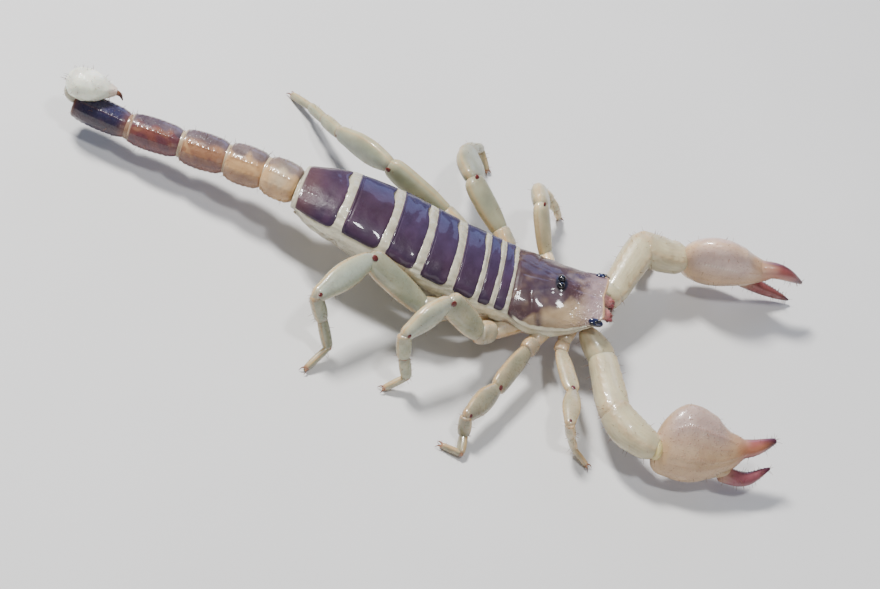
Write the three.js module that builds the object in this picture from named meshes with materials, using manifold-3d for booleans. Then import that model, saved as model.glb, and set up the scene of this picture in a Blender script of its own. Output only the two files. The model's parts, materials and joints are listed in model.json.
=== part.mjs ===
// A burrowing scorpion, life size, standing still.
// Units are millimetres, +X is where the head points, +Y is its left side, +Z is up.
// The origin is on the floor, under the middle of the whole animal.
// The shell plates, limb segments, eyes and claws are separate closed solids with a small
// clearance where one turns inside the next.

import * as THREE from "three";
import { mergeVertices } from "three/addons/utils/BufferGeometryUtils.js";
import Module from "manifold-3d";

const wasm = await Module();
wasm.setup();

// ---------------------------------------------------------------- driving sizes

const CLEARANCE = 0.3; // between one shell piece and the next
const FLOOR_SIZE = 200; // more than the animal's length
const SOLE_HEIGHT = 0.5; // middle of a foot's end above its sole
const SOLE_WIDTH = 0.66; // the small flat each foot stands on
const RING_SIDES = 8; // facets around a limb
const SLIM_SIDES = 6; // facets around a finger, a foot or a leg base
const FINE_SIDES = 4; // facets around a claw, a fang or a comb tooth
const WAIST = new THREE.Vector3(11.9, -0.5, 8.2); // rear edge of the carapace, at its side edges' height

const CARAPACE = {
  length: 14.6,
  turn: 1,
  lift: 7,
  rearHalf: 6.65,
  widestHalf: 6.85,
  frontHalf: 4.5,
  arch: 2.7, // crown above the side edges at the rear
  sag: 2.2, // how far the side edges dip in the middle of their length
  cornerRise: 1.6, // how far the front corners turn up
  notch: 0.6, // depth of the front edge's middle notch
};
const PLATE_THICKNESS = 0.6;

// One row for each back plate, first to seventh: length along the body, width of its rear
// edge, height of its arch, the turn of the body there and its rise towards the tail.
const BACK_PLATES = [
  { length: 2.4, width: 13.5, arch: 2.6, turn: 0, rise: 2 },
  { length: 2.7, width: 13.7, arch: 2.75, turn: 0, rise: 5 },
  { length: 4.2, width: 13.7, arch: 2.9, turn: 0, rise: 6 },
  { length: 5.3, width: 13.8, arch: 3.0, turn: -2, rise: 8 },
  { length: 5.9, width: 13.3, arch: 3.0, turn: -4, rise: 9 },
  { length: 7.0, width: 12.2, arch: 2.8, turn: -5, rise: 2 },
  { length: 7.9, width: 8.4, arch: 2.2, turn: -6, rise: -8 },
];
const WAIST_WIDTH = 13.3;
const BAND = 1.15; // the pale skin that shows between two back plates
const SHORT_BAND = 0.7; // the same between the short front plates

// Tail rings, first to fifth: length, greatest width and height, turn, and fall towards the tip.
const TAIL_RINGS = [
  { length: 5.5, width: 6.2, height: 5.6, turn: -16, fall: 10.8 },
  { length: 6.15, width: 6.1, height: 5.5, turn: -8.5, fall: 10 },
  { length: 7.2, width: 5.6, height: 5.1, turn: -5.2, fall: 8.6 },
  { length: 8.3, width: 5.0, height: 4.7, turn: -3.8, fall: 6.4 },
  { length: 9.0, width: 4.6, height: 4.4, turn: -8.3, fall: 3.4 },
];
const TAIL_DROP = 0.3; // the tail's axis below the side edges of the last back plate
const TAIL_ASIDE = 0.4; // and to the left of the trunk's middle line
const VESICLE = { length: 7.3, width: 4.9, height: 4.7, rise: 4.3, back: 2.1, aside: 0.7, turn: 12, lift: 4 };

// Legs, first to fourth pair: lengths of thigh, shin, foot's three parts, and greatest depths.
const LEG_PAIRS = [
  { hip: [22.0, 7.5, 5.4], lengths: [7.8, 6.6, 3.1, 3.0, 3.0], depths: [2.5, 2.6, 1.8, 1.4, 1.1] },
  { hip: [17.0, 9.4, 5.2], lengths: [8.8, 7.8, 3.3, 3.1, 3.0], depths: [3.1, 3.3, 2.1, 1.6, 1.2] },
  { hip: [9.0, 10.2, 6.2], lengths: [9.2, 8.8, 4.2, 3.9, 3.7], depths: [4.0, 3.7, 2.4, 1.9, 1.35] },
  { hip: [0.0, 9.5, 6.6], lengths: [11.6, 11.0, 4.9, 4.7, 4.6], depths: [4.1, 3.8, 2.4, 1.9, 1.4] },
];
const LEG_THICKNESS = 0.56; // thickness of a thigh or shin over its depth

// Stance: for each leg, [direction, climb] in degrees of thigh, shin, and the foot's first two
// parts, then the direction of its last part, which reaches down to the floor.
const STANCE = {
  right: [
    [[-69.5, 7], [-87, 4], [8, -66], [0, -60], -30],
    [[-112, -5], [-118, 0], [-45, -68], [-86, -10], 170],
    [[-170, 43], [-126, -17], [-30, -68], [-22, -62], -146],
    [[172, 26], [-125, -8], [-5, -62], [-37, -50], -121],
  ],
  left: [
    [[9, -18], [70, 8], [62, -28], [52, -22], 40],
    [[138, 52], [84, -35], [28, -42], [19, -50], 30],
    [[148, 28], [98, -21], [65, -37], [63, -37], -46],
    [[170, 20], [144, -20], [126, -27], [125, -27], 138],
  ],
};

// Pedipalps: segment sizes, and for each side [direction, climb] of upper arm, forearm and hand,
// how far the middle of the forearm bows to the right, the hand's roll about its length (0 lies
// flat, 90 stands on edge with the moving finger below), and each finger's tip as a distance
// ahead of the knuckles and one towards the fixed side, with its own bow.
const ARM = { upper: 10.4, forearm: 7.8, hand: 13.0 };
const ARM_WIDTHS = { upper: 5.2, forearm: 5.9, hand: 11.6, handDepth: 5.4 };
const ARM_POSES = {
  right: {
    root: [28.4, -6.3, 5.8],
    upper: [-73, 5.5],
    forearm: [-23, -4.1],
    bow: 1.1,
    hand: [13.5, -1],
    roll: 45,
    fixedFinger: { tip: [6.5, 3.5], bulge: -0.75 },
    movingFinger: { tip: [6.2, -1.0], bulge: -1.3 },
  },
  left: {
    root: [28.1, 5.4, 6.0],
    upper: [73, 14],
    forearm: [17, -15],
    bow: 0.5,
    hand: [8.9, 2.3],
    roll: 80,
    fixedFinger: { tip: [7.5, -0.3], bulge: 1.4 },
    movingFinger: { tip: [7.8, -6.6], bulge: -0.2 },
  },
};

const COLOURS = {
  back: { color: 0x4b3746, roughness: 0.25 },
  carapace: { color: 0x6a4f52, roughness: 0.3 },
  skin: { color: 0xc8c3a5, roughness: 0.5 },
  leg: { color: 0xbebea5, roughness: 0.35 },
  arm: { color: 0xc3b99b, roughness: 0.35 },
  hand: { color: 0xb9a596, roughness: 0.35 },
  finger: { color: 0x8a4638, roughness: 0.35 },
  eye: { color: 0x10121f, roughness: 0.1 },
  jaw: { color: 0xb06a62, roughness: 0.4 },
  tailFront: { color: 0xc0946e, roughness: 0.35 },
  tailMiddle: { color: 0x8b5a50, roughness: 0.3 },
  tailRear: { color: 0x373255, roughness: 0.25 },
  vesicle: { color: 0xd7d7c8, roughness: 0.3 },
  sting: { color: 0x7a3524, roughness: 0.3 },
};

// ---------------------------------------------------------------- vectors

const UP = new THREE.Vector3(0, 0, 1);
const degrees = THREE.MathUtils.degToRad;
const plus = (point, direction, amount) => point.clone().addScaledVector(direction, amount);
const vector = (numbers) => new THREE.Vector3(...numbers);

// Unit vector that points turned by azimuth from +X and climbs by elevation.
function heading(azimuth, elevation) {
  const flat = Math.cos(degrees(elevation));
  const x = Math.cos(degrees(azimuth)) * flat;
  const y = Math.sin(degrees(azimuth)) * flat;
  return new THREE.Vector3(x, y, Math.sin(degrees(elevation)));
}

// A place on the body: its point, where it looks, its left side and its own up.
function bodyFrame(point, azimuth, elevation) {
  const ahead = heading(azimuth, elevation);
  const left = heading(azimuth + 90, 0);
  return { point, ahead, left, up: ahead.clone().cross(left) };
}

// ---------------------------------------------------------------- solids

// A solid from triangles that share their corners.
function solidFrom(points, triangles) {
  const vertProperties = new Float32Array(points.flatMap((p) => [p.x, p.y, p.z]));
  const triVerts = new Uint32Array(triangles.flat());
  return new wasm.Manifold(new wasm.Mesh({ numProp: 3, vertProperties, triVerts }));
}

// Closed solid through rings. Each ring has a centre, the directions across and up, half its
// width, and its height above and below the centre. The facets stand out a little past the oval
// so that they hold as much as it does. Each end is a flat fan of triangles.
function loft(rings, sides = RING_SIDES) {
  const fill = Math.sqrt((2 * Math.PI) / sides / Math.sin((2 * Math.PI) / sides));
  const points = [];
  const triangles = [];
  rings.forEach((ring) => {
    for (let k = 0; k < sides; k += 1) {
      const angle = (2 * Math.PI * (k + 0.5)) / sides;
      const rise = fill * Math.sin(angle) * (Math.sin(angle) > 0 ? ring.high : ring.low);
      points.push(plus(plus(ring.centre, ring.across, fill * Math.cos(angle) * ring.half), ring.up, rise));
    }
  });
  const at = (ring, k) => ring * sides + (k % sides);
  for (let ring = 0; ring + 1 < rings.length; ring += 1) {
    for (let k = 0; k < sides; k += 1) {
      triangles.push([at(ring, k), at(ring, k + 1), at(ring + 1, k + 1)]);
      triangles.push([at(ring, k), at(ring + 1, k + 1), at(ring + 1, k)]);
    }
  }
  const last = rings.length - 1;
  const tail = points.push(rings[0].centre.clone()) - 1;
  const tip = points.push(rings[last].centre.clone()) - 1;
  for (let k = 0; k < sides; k += 1) {
    triangles.push([tail, at(0, k + 1), at(0, k)]);
    triangles.push([tip, at(last, k), at(last, k + 1)]);
  }
  return solidFrom(points, triangles);
}

// The same rings, larger all round by an amount.
function grown(rings, amount = CLEARANCE) {
  const last = rings.length - 1;
  return rings.map((ring, index) => {
    const next = rings[Math.min(index + 1, last)].centre;
    const before = rings[Math.max(index - 1, 0)].centre;
    const along = next.clone().sub(before).normalize();
    const shift = index === 0 ? -amount : index === last ? amount : 0;
    return {
      ...ring,
      centre: plus(ring.centre, along, shift),
      half: ring.half + amount,
      high: ring.high + amount,
      low: ring.low + amount,
    };
  });
}

// Rings along a straight segment. A profile row is [place along, half depth, half thickness];
// the depth lies in the plane whose normal is given.
function segmentRings(start, end, normal, profile, bow = 0) {
  const ahead = end.clone().sub(start).normalize();
  const across = normal.clone().addScaledVector(ahead, -normal.dot(ahead)).normalize();
  const up = ahead.clone().cross(across);
  return profile.map(([place, depth, thickness]) => {
    const centre = start.clone().lerp(end, place);
    centre.addScaledVector(up, bow * Math.sin(Math.PI * THREE.MathUtils.clamp(place, 0, 1)));
    return { centre, across, up, half: thickness, high: depth, low: depth };
  });
}

// Rings along a smooth curve through points; size(place) gives [half across, half up].
function curveRings(points, across, count, size) {
  const curve = new THREE.CatmullRomCurve3(points);
  return Array.from({ length: count }, (_, index) => {
    const place = index / (count - 1);
    const ahead = curve.getTangentAt(place);
    const side = across.clone().addScaledVector(ahead, -across.dot(ahead)).normalize();
    const [half, high] = size(place);
    return { centre: curve.getPointAt(place), across: side, up: ahead.clone().cross(side), half, high, low: high };
  });
}

// A closed plate between an outer and an inner grid of points. Rows follow each other towards
// the head and the points of a row run from right to left.
function plate(outer, inner) {
  const rows = outer.length;
  const columns = outer[0].length;
  const points = [...outer.flat(), ...inner.flat()];
  const top = (r, c) => r * columns + c;
  const under = (r, c) => rows * columns + r * columns + c;
  const triangles = [];
  const quad = (a, b, c, d) => triangles.push([a, b, c], [a, c, d]);
  for (let r = 0; r + 1 < rows; r += 1) {
    for (let c = 0; c + 1 < columns; c += 1) {
      quad(top(r, c), top(r + 1, c), top(r + 1, c + 1), top(r, c + 1));
      quad(under(r, c), under(r, c + 1), under(r + 1, c + 1), under(r + 1, c));
    }
    quad(top(r, 0), under(r, 0), under(r + 1, 0), top(r + 1, 0));
    quad(top(r, columns - 1), top(r + 1, columns - 1), under(r + 1, columns - 1), under(r, columns - 1));
  }
  for (let c = 0; c + 1 < columns; c += 1) {
    quad(top(0, c), top(0, c + 1), under(0, c + 1), under(0, c));
    quad(top(rows - 1, c), under(rows - 1, c), under(rows - 1, c + 1), top(rows - 1, c + 1));
  }
  return solidFrom(points, triangles);
}

// A small round bead.
function bead(centre, radius) {
  const across = new THREE.Vector3(1, 0, 0);
  const up = new THREE.Vector3(0, 1, 0);
  const rings = [-0.8, 0, 0.8].map((level) => {
    const size = radius * Math.sqrt(1 - level * level);
    return { centre: plus(centre, UP, level * radius), across, up, half: size, high: size, low: size };
  });
  return loft(rings, SLIM_SIDES);
}

// The largest piece of a solid that a cut may have divided.
function largest(solid) {
  return solid.decompose().reduce((best, piece) => (piece.volume() > best.volume() ? piece : best));
}

const joined = (solids) => solids.reduce((whole, solid) => whole.add(solid));
const cut = (solid, ...tools) => largest(tools.reduce((whole, tool) => whole.subtract(tool), solid));

// Everything under the floor, for cutting small flats on the feet.
function underFloor() {
  const box = new THREE.BoxGeometry(FLOOR_SIZE, FLOOR_SIZE, 10).translate(0, 0, -5);
  box.deleteAttribute("normal");
  box.deleteAttribute("uv");
  const shared = mergeVertices(box);
  const corner = new THREE.Vector3();
  const points = Array.from({ length: shared.getAttribute("position").count }, (_, k) =>
    corner.fromBufferAttribute(shared.getAttribute("position"), k).clone(),
  );
  const index = Array.from(shared.index.array);
  const triangles = Array.from({ length: index.length / 3 }, (_, k) => index.slice(3 * k, 3 * k + 3));
  return solidFrom(points, triangles);
}

// ---------------------------------------------------------------- the figure

const scorpion = new THREE.Group();

// The sizes above are measured from a point near the middle; this moves the middle to the origin.
const TO_MIDDLE = { x: 1.07, y: -0.11 };

function addPart(name, solid, look) {
  const mesh = solid.getMesh();
  const geometry = new THREE.BufferGeometry();
  geometry.setAttribute("position", new THREE.BufferAttribute(new Float32Array(mesh.vertProperties), 3));
  geometry.setIndex(new THREE.BufferAttribute(new Uint32Array(mesh.triVerts), 1));
  geometry.translate(TO_MIDDLE.x, TO_MIDDLE.y, 0);
  geometry.computeVertexNormals();
  const part = new THREE.Mesh(geometry, new THREE.MeshStandardMaterial({ metalness: 0, ...look }));
  part.name = name;
  scorpion.add(part);
}

// ---- trunk: the line along the side edges, from the waist back to the tail

const trunk = [{ ...bodyFrame(WAIST, 0, 0), half: WAIST_WIDTH / 2, arch: 2.5 }];
BACK_PLATES.forEach((row) => {
  const ahead = heading(row.turn, -row.rise);
  const point = plus(trunk[trunk.length - 1].point, ahead, -row.length);
  trunk.push({ ...bodyFrame(point, row.turn, -row.rise), half: row.width / 2, arch: row.arch });
});

// Half width and arch of the trunk at a place along one plate, with its middle point.
function trunkAt(index, place) {
  const front = trunk[index];
  const rear = trunk[index + 1];
  const narrowing = index === BACK_PLATES.length - 1 ? place ** 1.7 : place;
  return {
    point: front.point.clone().lerp(rear.point, place),
    left: front.left.clone().lerp(rear.left, place).normalize(),
    up: front.up.clone().lerp(rear.up, place).normalize(),
    half: THREE.MathUtils.lerp(front.half, rear.half, narrowing),
    arch: THREE.MathUtils.lerp(front.arch, rear.arch, place),
  };
}

// A point on the arched back: share runs from -1 at the right edge to 1 at the left edge.
function onArch(at, share, inward) {
  const angle = share * degrees(84);
  const out = plus(at.point, at.left, Math.sin(angle) * (at.half - inward));
  return plus(out, at.up, Math.cos(angle) ** 0.8 * (at.arch - inward));
}

const ARCH_STEPS = 8;
const archShares = Array.from({ length: ARCH_STEPS + 1 }, (_, k) => (2 * k) / ARCH_STEPS - 1);

const LONG_PLATE = 4; // a plate longer than this has a middle row

function backPlate(index, extra) {
  const { length } = BACK_PLATES[index];
  const band = index < 3 ? SHORT_BAND : BAND;
  const first = (band - extra) / length;
  const last = 1 + (extra - CLEARANCE / 2) / length;
  const steps = length < LONG_PLATE ? [1, 0] : [1, 0.5, 0];
  const places = steps.map((share) => THREE.MathUtils.lerp(first, last, share));
  const shares = archShares.map((share) => share * (1 + extra * 0.06));
  const row = (place, inward) => shares.map((share) => onArch(trunkAt(index, place), share, inward));
  const outer = places.map((place) => row(place, -extra));
  const inner = places.map((place) => row(place, PLATE_THICKNESS + extra));
  return plate(outer, inner);
}

const BELLY_DEPTH = 5.6; // from the side edges down to the belly plates
const SIDE_FOLD_DROP = 1.8; // the trunk is widest this far under the side edges
const TRUNK_SIDES = 12;
const trunkRings = trunk.map((at, index) => {
  const last = index === trunk.length - 1;
  const front = index < 2;
  const shrink = last ? 0.8 : 0;
  return {
    centre: plus(at.point, at.up, last ? -1 : -SIDE_FOLD_DROP),
    across: at.left,
    up: at.up,
    half: at.half + 0.1 - shrink,
    high: at.arch - PLATE_THICKNESS - CLEARANCE - 0.1 + (last ? 1 - shrink : SIDE_FOLD_DROP),
    low: last ? BELLY_DEPTH - 2.9 : BELLY_DEPTH - SIDE_FOLD_DROP - (front ? 0.7 : 0),
  };
});
trunkRings.reverse();

// ---- carapace

const neck = bodyFrame(WAIST, CARAPACE.turn, CARAPACE.lift);

// Half width of the carapace at a place from its rear edge (0) to its front edge (1).
function carapaceHalf(place) {
  const swell = (CARAPACE.widestHalf - CARAPACE.rearHalf) * Math.sin(Math.PI * Math.min(place / 0.5, 1));
  const taper = (CARAPACE.rearHalf - CARAPACE.frontHalf) * Math.max(place, 0) ** 1.8;
  return CARAPACE.rearHalf + swell - taper;
}

// A point on the carapace. The front edge has a notch in the middle, the eyes stand on a
// low mound, and the sides slope down from it.
function onCarapace(place, share, inward) {
  const half = carapaceHalf(place);
  const notch = CARAPACE.notch * place ** 6 * (1 - Math.abs(share)) ** 2;
  const rounding = 0.9 * place ** 8 * Math.abs(share) ** 6;
  const along = CARAPACE.length * place - notch - rounding;
  const angle = share * degrees(84);
  const dip = CARAPACE.sag * Math.sin(Math.PI * THREE.MathUtils.clamp(place, 0, 1) ** 0.8);
  const edge = CARAPACE.cornerRise * Math.max(place, 0) ** 3 - dip;
  const arch = CARAPACE.arch * (1 - 0.42 * place ** 2) - edge * (1 - 0.4 * place ** 4);
  const moundPlace = (place - EYE_PLACE) / 0.13;
  const mound = 0.55 * Math.exp(-(moundPlace ** 2) - (share / 0.16) ** 2);
  const out = plus(plus(neck.point, neck.ahead, along), neck.left, Math.sin(angle) * (half - inward));
  return plus(out, neck.up, edge + Math.cos(angle) ** 0.8 * (arch - inward) + mound);
}

const EYE_PLACE = 0.485; // median eyes, as a share of the carapace's length
const EYE_SPACING = 0.95;
const EYE_RADIUS = 0.55;
const CARAPACE_STEPS = 10;
const carapaceShares = Array.from({ length: CARAPACE_STEPS + 1 }, (_, k) => (2 * k) / CARAPACE_STEPS - 1);

function carapacePlate(extra) {
  const first = (0.15 - extra) / CARAPACE.length;
  const last = 1 + extra / CARAPACE.length;
  const places = [0, 0.22, 0.4, 0.57, 0.8, 1];
  const rows = places.map((share) => THREE.MathUtils.lerp(first, last, share));
  const shares = carapaceShares.map((share) => share * (1 + extra * 0.06));
  const surface = (inward) => rows.map((place) => shares.map((share) => onCarapace(place, share, inward)));
  return plate(surface(-extra), surface(PLATE_THICKNESS + 0.2 + extra));
}

const eyeBase = (side) => {
  const share = (side * EYE_SPACING) / CARAPACE.widestHalf / 1.45;
  return plus(onCarapace(EYE_PLACE, share, 0), neck.up, 0.12);
};
const lateralEyes = (side) => {
  const places = [0.9, 0.935, 0.965];
  return places.map((place) => plus(onCarapace(place, side * 0.86, 0), neck.up, 0.05));
};
const eyes = { left: 1, right: -1 };
const eyeSolids = [];
Object.entries(eyes).forEach(([name, side]) => {
  const median = bead(eyeBase(side), EYE_RADIUS);
  addPart(`eye_median_${name}`, median, COLOURS.eye);
  const group = lateralEyes(side).map((point) => bead(point, 0.36));
  addPart(`eyes_lateral_${name}`, joined(group), COLOURS.eye);
  eyeSolids.push(bead(eyeBase(side), EYE_RADIUS + CLEARANCE / 2));
  lateralEyes(side).forEach((point) => eyeSolids.push(bead(point, 0.36 + CLEARANCE / 2)));
});
addPart("carapace", cut(carapacePlate(0), ...eyeSolids), COLOURS.carapace);

BACK_PLATES.forEach((_, index) => {
  addPart(`back_plate_${index + 1}`, backPlate(index, 0), COLOURS.back);
});

// ---- front underside: breast plate and leg bases, under the carapace

const onNeck = (along, left, up) => {
  const point = plus(plus(neck.point, neck.ahead, along), neck.left, left);
  return plus(point, neck.up, up);
};
const breastRings = [0.2, 1.5, 7, 12.2, 13.3].map((along, index) => {
  const half = [4.8, 5.2, 4.6, 3.2, 2.5][index];
  const high = [1.7, 2.0, 1.9, 1.5, 1.0][index];
  const low = [1.1, 1.8, 2.0, 1.3, 0.8][index];
  return { centre: onNeck(along, 0, -1.4), across: neck.left, up: neck.up, half, high, low };
});

function hip(side, pair) {
  const [x, y, z] = LEG_PAIRS[pair].hip;
  return new THREE.Vector3(x, WAIST.y + 0.4 + side * y, z);
}

const COXA_ROOTS = [10.4, 7.6, 4.9, 2.4]; // where each leg base meets the breast plate, from the waist
const COXA_DEPTHS = [1.2, 1.35, 1.7, 1.8]; // half depth of each leg base
const COXA_SAGS = [0, 0, 1.1, 0.7]; // how far its outer end hangs under a straight line to the hip
const legBases = [];
const legBaseRings = (side, pair) => {
  const root = onNeck(COXA_ROOTS[pair], side * 2.0, -2.9);
  const end = plus(root.clone().lerp(hip(side, pair), 0.72), UP, -COXA_SAGS[pair]);
  const depth = COXA_DEPTHS[pair];
  return segmentRings(root, end, UP, [
    [0, 1.0, 0.9],
    [0.35, depth * 1.15, 1.4],
    [1, depth * 0.85, 1.15],
  ]);
};

// ---- legs

// The points of a leg's joints, from the hip down to the end of its foot, above the sole.
function legJoints(sideName, side, pair) {
  const { lengths } = LEG_PAIRS[pair];
  const steps = STANCE[sideName][pair];
  const joints = [hip(side, pair)];
  for (let k = 0; k < 4; k += 1) {
    joints.push(plus(joints[k], heading(...steps[k]), lengths[k]));
  }
  const fall = Math.asin((joints[4].z - SOLE_HEIGHT) / lengths[4]);
  joints.push(plus(joints[4], heading(steps[4], -THREE.MathUtils.radToDeg(fall)), lengths[4]));
  return joints;
}

const thighProfile = (depth) => [
  [0.0, depth * 0.34, depth * 0.26],
  [0.2, depth * 0.47, depth * LEG_THICKNESS * 0.47],
  [0.84, depth * 0.49, depth * LEG_THICKNESS * 0.5],
  [1.0, depth * 0.3, depth * LEG_THICKNESS * 0.4],
];
const shinProfile = (depth) => [
  [-0.02, depth * 0.22, depth * 0.18],
  [0.1, depth * 0.4, depth * LEG_THICKNESS * 0.45],
  [0.4, depth * 0.5, depth * LEG_THICKNESS * 0.5],
  [0.75, depth * 0.45, depth * LEG_THICKNESS * 0.48],
  [0.97, depth * 0.3, depth * LEG_THICKNESS * 0.4],
];
// Rings of a foot: full in the middle of its first two parts, narrow at the joints, turned at
// each joint halfway between the parts it joins, and ending in a small flat on the floor.
function footRings(joints, depths) {
  const steps = [1, 2, 3].map((k) => joints[k].clone().sub(joints[k - 1]).normalize());
  const aside = UP.clone().cross(steps[2]).normalize();
  const ring = (centre, ahead, size) => {
    const across = plus(aside, ahead, -aside.dot(ahead)).normalize();
    return { centre, across, up: ahead.clone().cross(across), half: size * 0.42, high: size * 0.5, low: size * 0.5 };
  };
  const down = UP.clone().negate();
  const rings = [ring(joints[0], steps[0], depths[0] * 0.72)];
  steps.forEach((ahead, k) => {
    const last = k === steps.length - 1;
    const next = last ? down : steps[k + 1];
    if (!last) rings.push(ring(joints[k].clone().lerp(joints[k + 1], 0.42), ahead, depths[k]));
    rings.push(ring(joints[k + 1], ahead.clone().add(next).normalize(), depths[k] * (last ? 0.8 : 0.74)));
  });
  rings.push(ring(joints[3].clone().setZ(0), down, SOLE_WIDTH));
  return rings;
}

function clawRings(ankle, sole, bend) {
  const ahead = sole.clone().sub(ankle).setZ(0).normalize();
  const aside = UP.clone().cross(ahead);
  const root = plus(sole, ahead, -0.25);
  const middle = plus(plus(plus(root, ahead, 0.75), aside, 0.3 * bend), UP, 0.3);
  const tip = plus(plus(plus(root, ahead, 1.25), aside, 0.45 * bend), UP, -0.05);
  return curveRings([root, middle, tip], aside, 3, (place) => [0.3 - 0.1 * place, 0.3 - 0.1 * place]);
}

const floorTool = underFloor();
const legReach = []; // grown thighs, to cut what they turn in

Object.entries(eyes).forEach(([sideName, side]) => {
  LEG_PAIRS.forEach(({ depths }, pair) => {
    const joints = legJoints(sideName, side, pair);
    const thigh = joints[1].clone().sub(joints[0]).normalize();
    const shin = joints[2].clone().sub(joints[1]).normalize();
    const normal = thigh.clone().cross(shin).normalize();
    const rootEnd = legBaseRings(side, pair)[2].centre;
    const hipRings = segmentRings(rootEnd.clone().lerp(joints[0], 0.32), joints[0], normal, [
      [0, depths[0] * 0.34, depths[0] * 0.32],
      [0.55, depths[0] * 0.5, depths[0] * 0.42],
      [1.08, depths[0] * 0.38, depths[0] * 0.33],
    ]);
    const thighRings = segmentRings(joints[0], joints[1], normal, thighProfile(depths[0]));
    const shinRings = segmentRings(joints[1], joints[2], normal, shinProfile(depths[1]));
    const foot = loft(footRings(joints.slice(2), depths.slice(2)), SLIM_SIDES);
    const claws = [-1, 1].map((bend) => loft(clawRings(joints[4], joints[5], bend), FINE_SIDES));
    const name = `leg_${sideName}_${pair + 1}`;
    const thighSolid = loft(hipRings, SLIM_SIDES).add(loft(thighRings));
    const shinSolid = cut(loft(shinRings), loft(grown(thighRings)));
    const footSolid = joined([foot, ...claws]);
    addPart(`${name}_thigh`, thighSolid, COLOURS.leg);
    addPart(`${name}_shin`, shinSolid, COLOURS.leg);
    addPart(`${name}_foot`, cut(footSolid, loft(grown(shinRings)), floorTool), COLOURS.leg);
    legReach.push(loft(grown(hipRings), SLIM_SIDES), loft(grown(thighRings)));
    legBases.push(loft(legBaseRings(side, pair), SLIM_SIDES));
  });
});

// ---- pedipalps

// Direction across a hand's breadth, towards its fixed finger.
function handBreadth(ahead, roll, side) {
  const inward = UP.clone().cross(ahead).multiplyScalar(-side).normalize();
  const broad = inward.multiplyScalar(Math.cos(degrees(roll))).addScaledVector(UP, Math.sin(degrees(roll)));
  return broad.addScaledVector(ahead, -broad.dot(ahead)).normalize();
}

const upperProfile = (width) => [
  [0.0, width * 0.28, width * 0.28],
  [0.12, width * 0.4, width * 0.36],
  [0.45, width * 0.46, width * 0.42],
  [0.85, width * 0.52, width * 0.44],
  [1.0, width * 0.38, width * 0.32],
];
const forearmProfile = (width) => [
  [-0.03, width * 0.2, width * 0.18],
  [0.1, width * 0.38, width * 0.34],
  [0.45, width * 0.52, width * 0.46],
  [0.82, width * 0.46, width * 0.42],
  [1.0, width * 0.3, width * 0.26],
];

// The hand's outline: [place along, half breadth towards the fixed finger, half breadth
// towards the moving finger, half depth], as shares of its breadth and depth.
const HAND_OUTLINE = [
  [0.0, 0.16, 0.14, 0.3],
  [0.07, 0.38, 0.28, 0.62],
  [0.25, 0.57, 0.4, 0.95],
  [0.45, 0.58, 0.43, 1.0],
  [0.68, 0.46, 0.39, 0.88],
  [0.88, 0.3, 0.3, 0.66],
  [1.0, 0.19, 0.23, 0.45],
];

const HAND_SIDES = 8;
const armReach = [];
Object.entries(eyes).forEach(([sideName, side]) => {
  const pose = ARM_POSES[sideName];
  const root = vector(pose.root);
  const elbow = plus(root, heading(...pose.upper), ARM.upper);
  const wrist = plus(elbow, heading(...pose.forearm), ARM.forearm);
  const ahead = heading(...pose.hand);
  const knuckle = plus(wrist, ahead, ARM.hand);
  const broad = handBreadth(ahead, pose.roll, side);
  const normal = broad.clone().cross(ahead);
  const inner = onNeck(11.2, side * 2.6, -1.7);

  const socketRings = segmentRings(inner, root, UP, [
    [0.35, 1.1, 1.1],
    [0.75, 1.8, 1.7],
    [1.08, 1.4, 1.3],
  ]);
  const upperRings = segmentRings(root, elbow, UP, upperProfile(ARM_WIDTHS.upper));
  const forearmRings = segmentRings(elbow, wrist, UP, forearmProfile(ARM_WIDTHS.forearm), pose.bow);
  const handRings = HAND_OUTLINE.map(([place, fixed, moving, depth]) => ({
    centre: plus(wrist, ahead, place * ARM.hand),
    across: normal,
    up: broad,
    half: depth * ARM_WIDTHS.handDepth * 0.5,
    high: fixed * ARM_WIDTHS.hand,
    low: moving * ARM_WIDTHS.hand,
  }));
  const fingerPoint = (along, aside) => plus(plus(knuckle, ahead, along), broad, aside);
  const fingerRings = (rootAlong, rootAside, { tip, bulge }, thick) => {
    const alongMiddle = (rootAlong + tip[0]) / 2 + 0.4;
    const asideMiddle = (rootAside + tip[1]) / 2 + bulge;
    const path = [fingerPoint(rootAlong, rootAside), fingerPoint(alongMiddle, asideMiddle), fingerPoint(...tip)];
    const taper = (place) => 1 - 0.82 * place ** 1.8;
    return curveRings(path, normal, 6, (place) => [0.85 * thick * taper(place), thick * taper(place)]);
  };
  const fixedFinger = loft(fingerRings(-2.6, 1.2, pose.fixedFinger, 1.6), SLIM_SIDES);
  const movingRings = fingerRings(-2.0, -2.8, pose.movingFinger, 1.4);
  const movingFinger = loft(movingRings, SLIM_SIDES);

  const handSolid = cut(loft(handRings, HAND_SIDES).add(fixedFinger), loft(grown(movingRings), SLIM_SIDES));
  addPart(`arm_${sideName}_upper`, loft(socketRings).add(loft(upperRings)), COLOURS.arm);
  addPart(`arm_${sideName}_forearm`, cut(loft(forearmRings), loft(grown(upperRings))), COLOURS.arm);
  addPart(`arm_${sideName}_hand`, cut(handSolid, loft(grown(forearmRings))), COLOURS.hand);
  addPart(`arm_${sideName}_finger`, movingFinger, COLOURS.finger);
  armReach.push(loft(grown(socketRings)), loft(grown(upperRings)));
});

// ---- jaws

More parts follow.
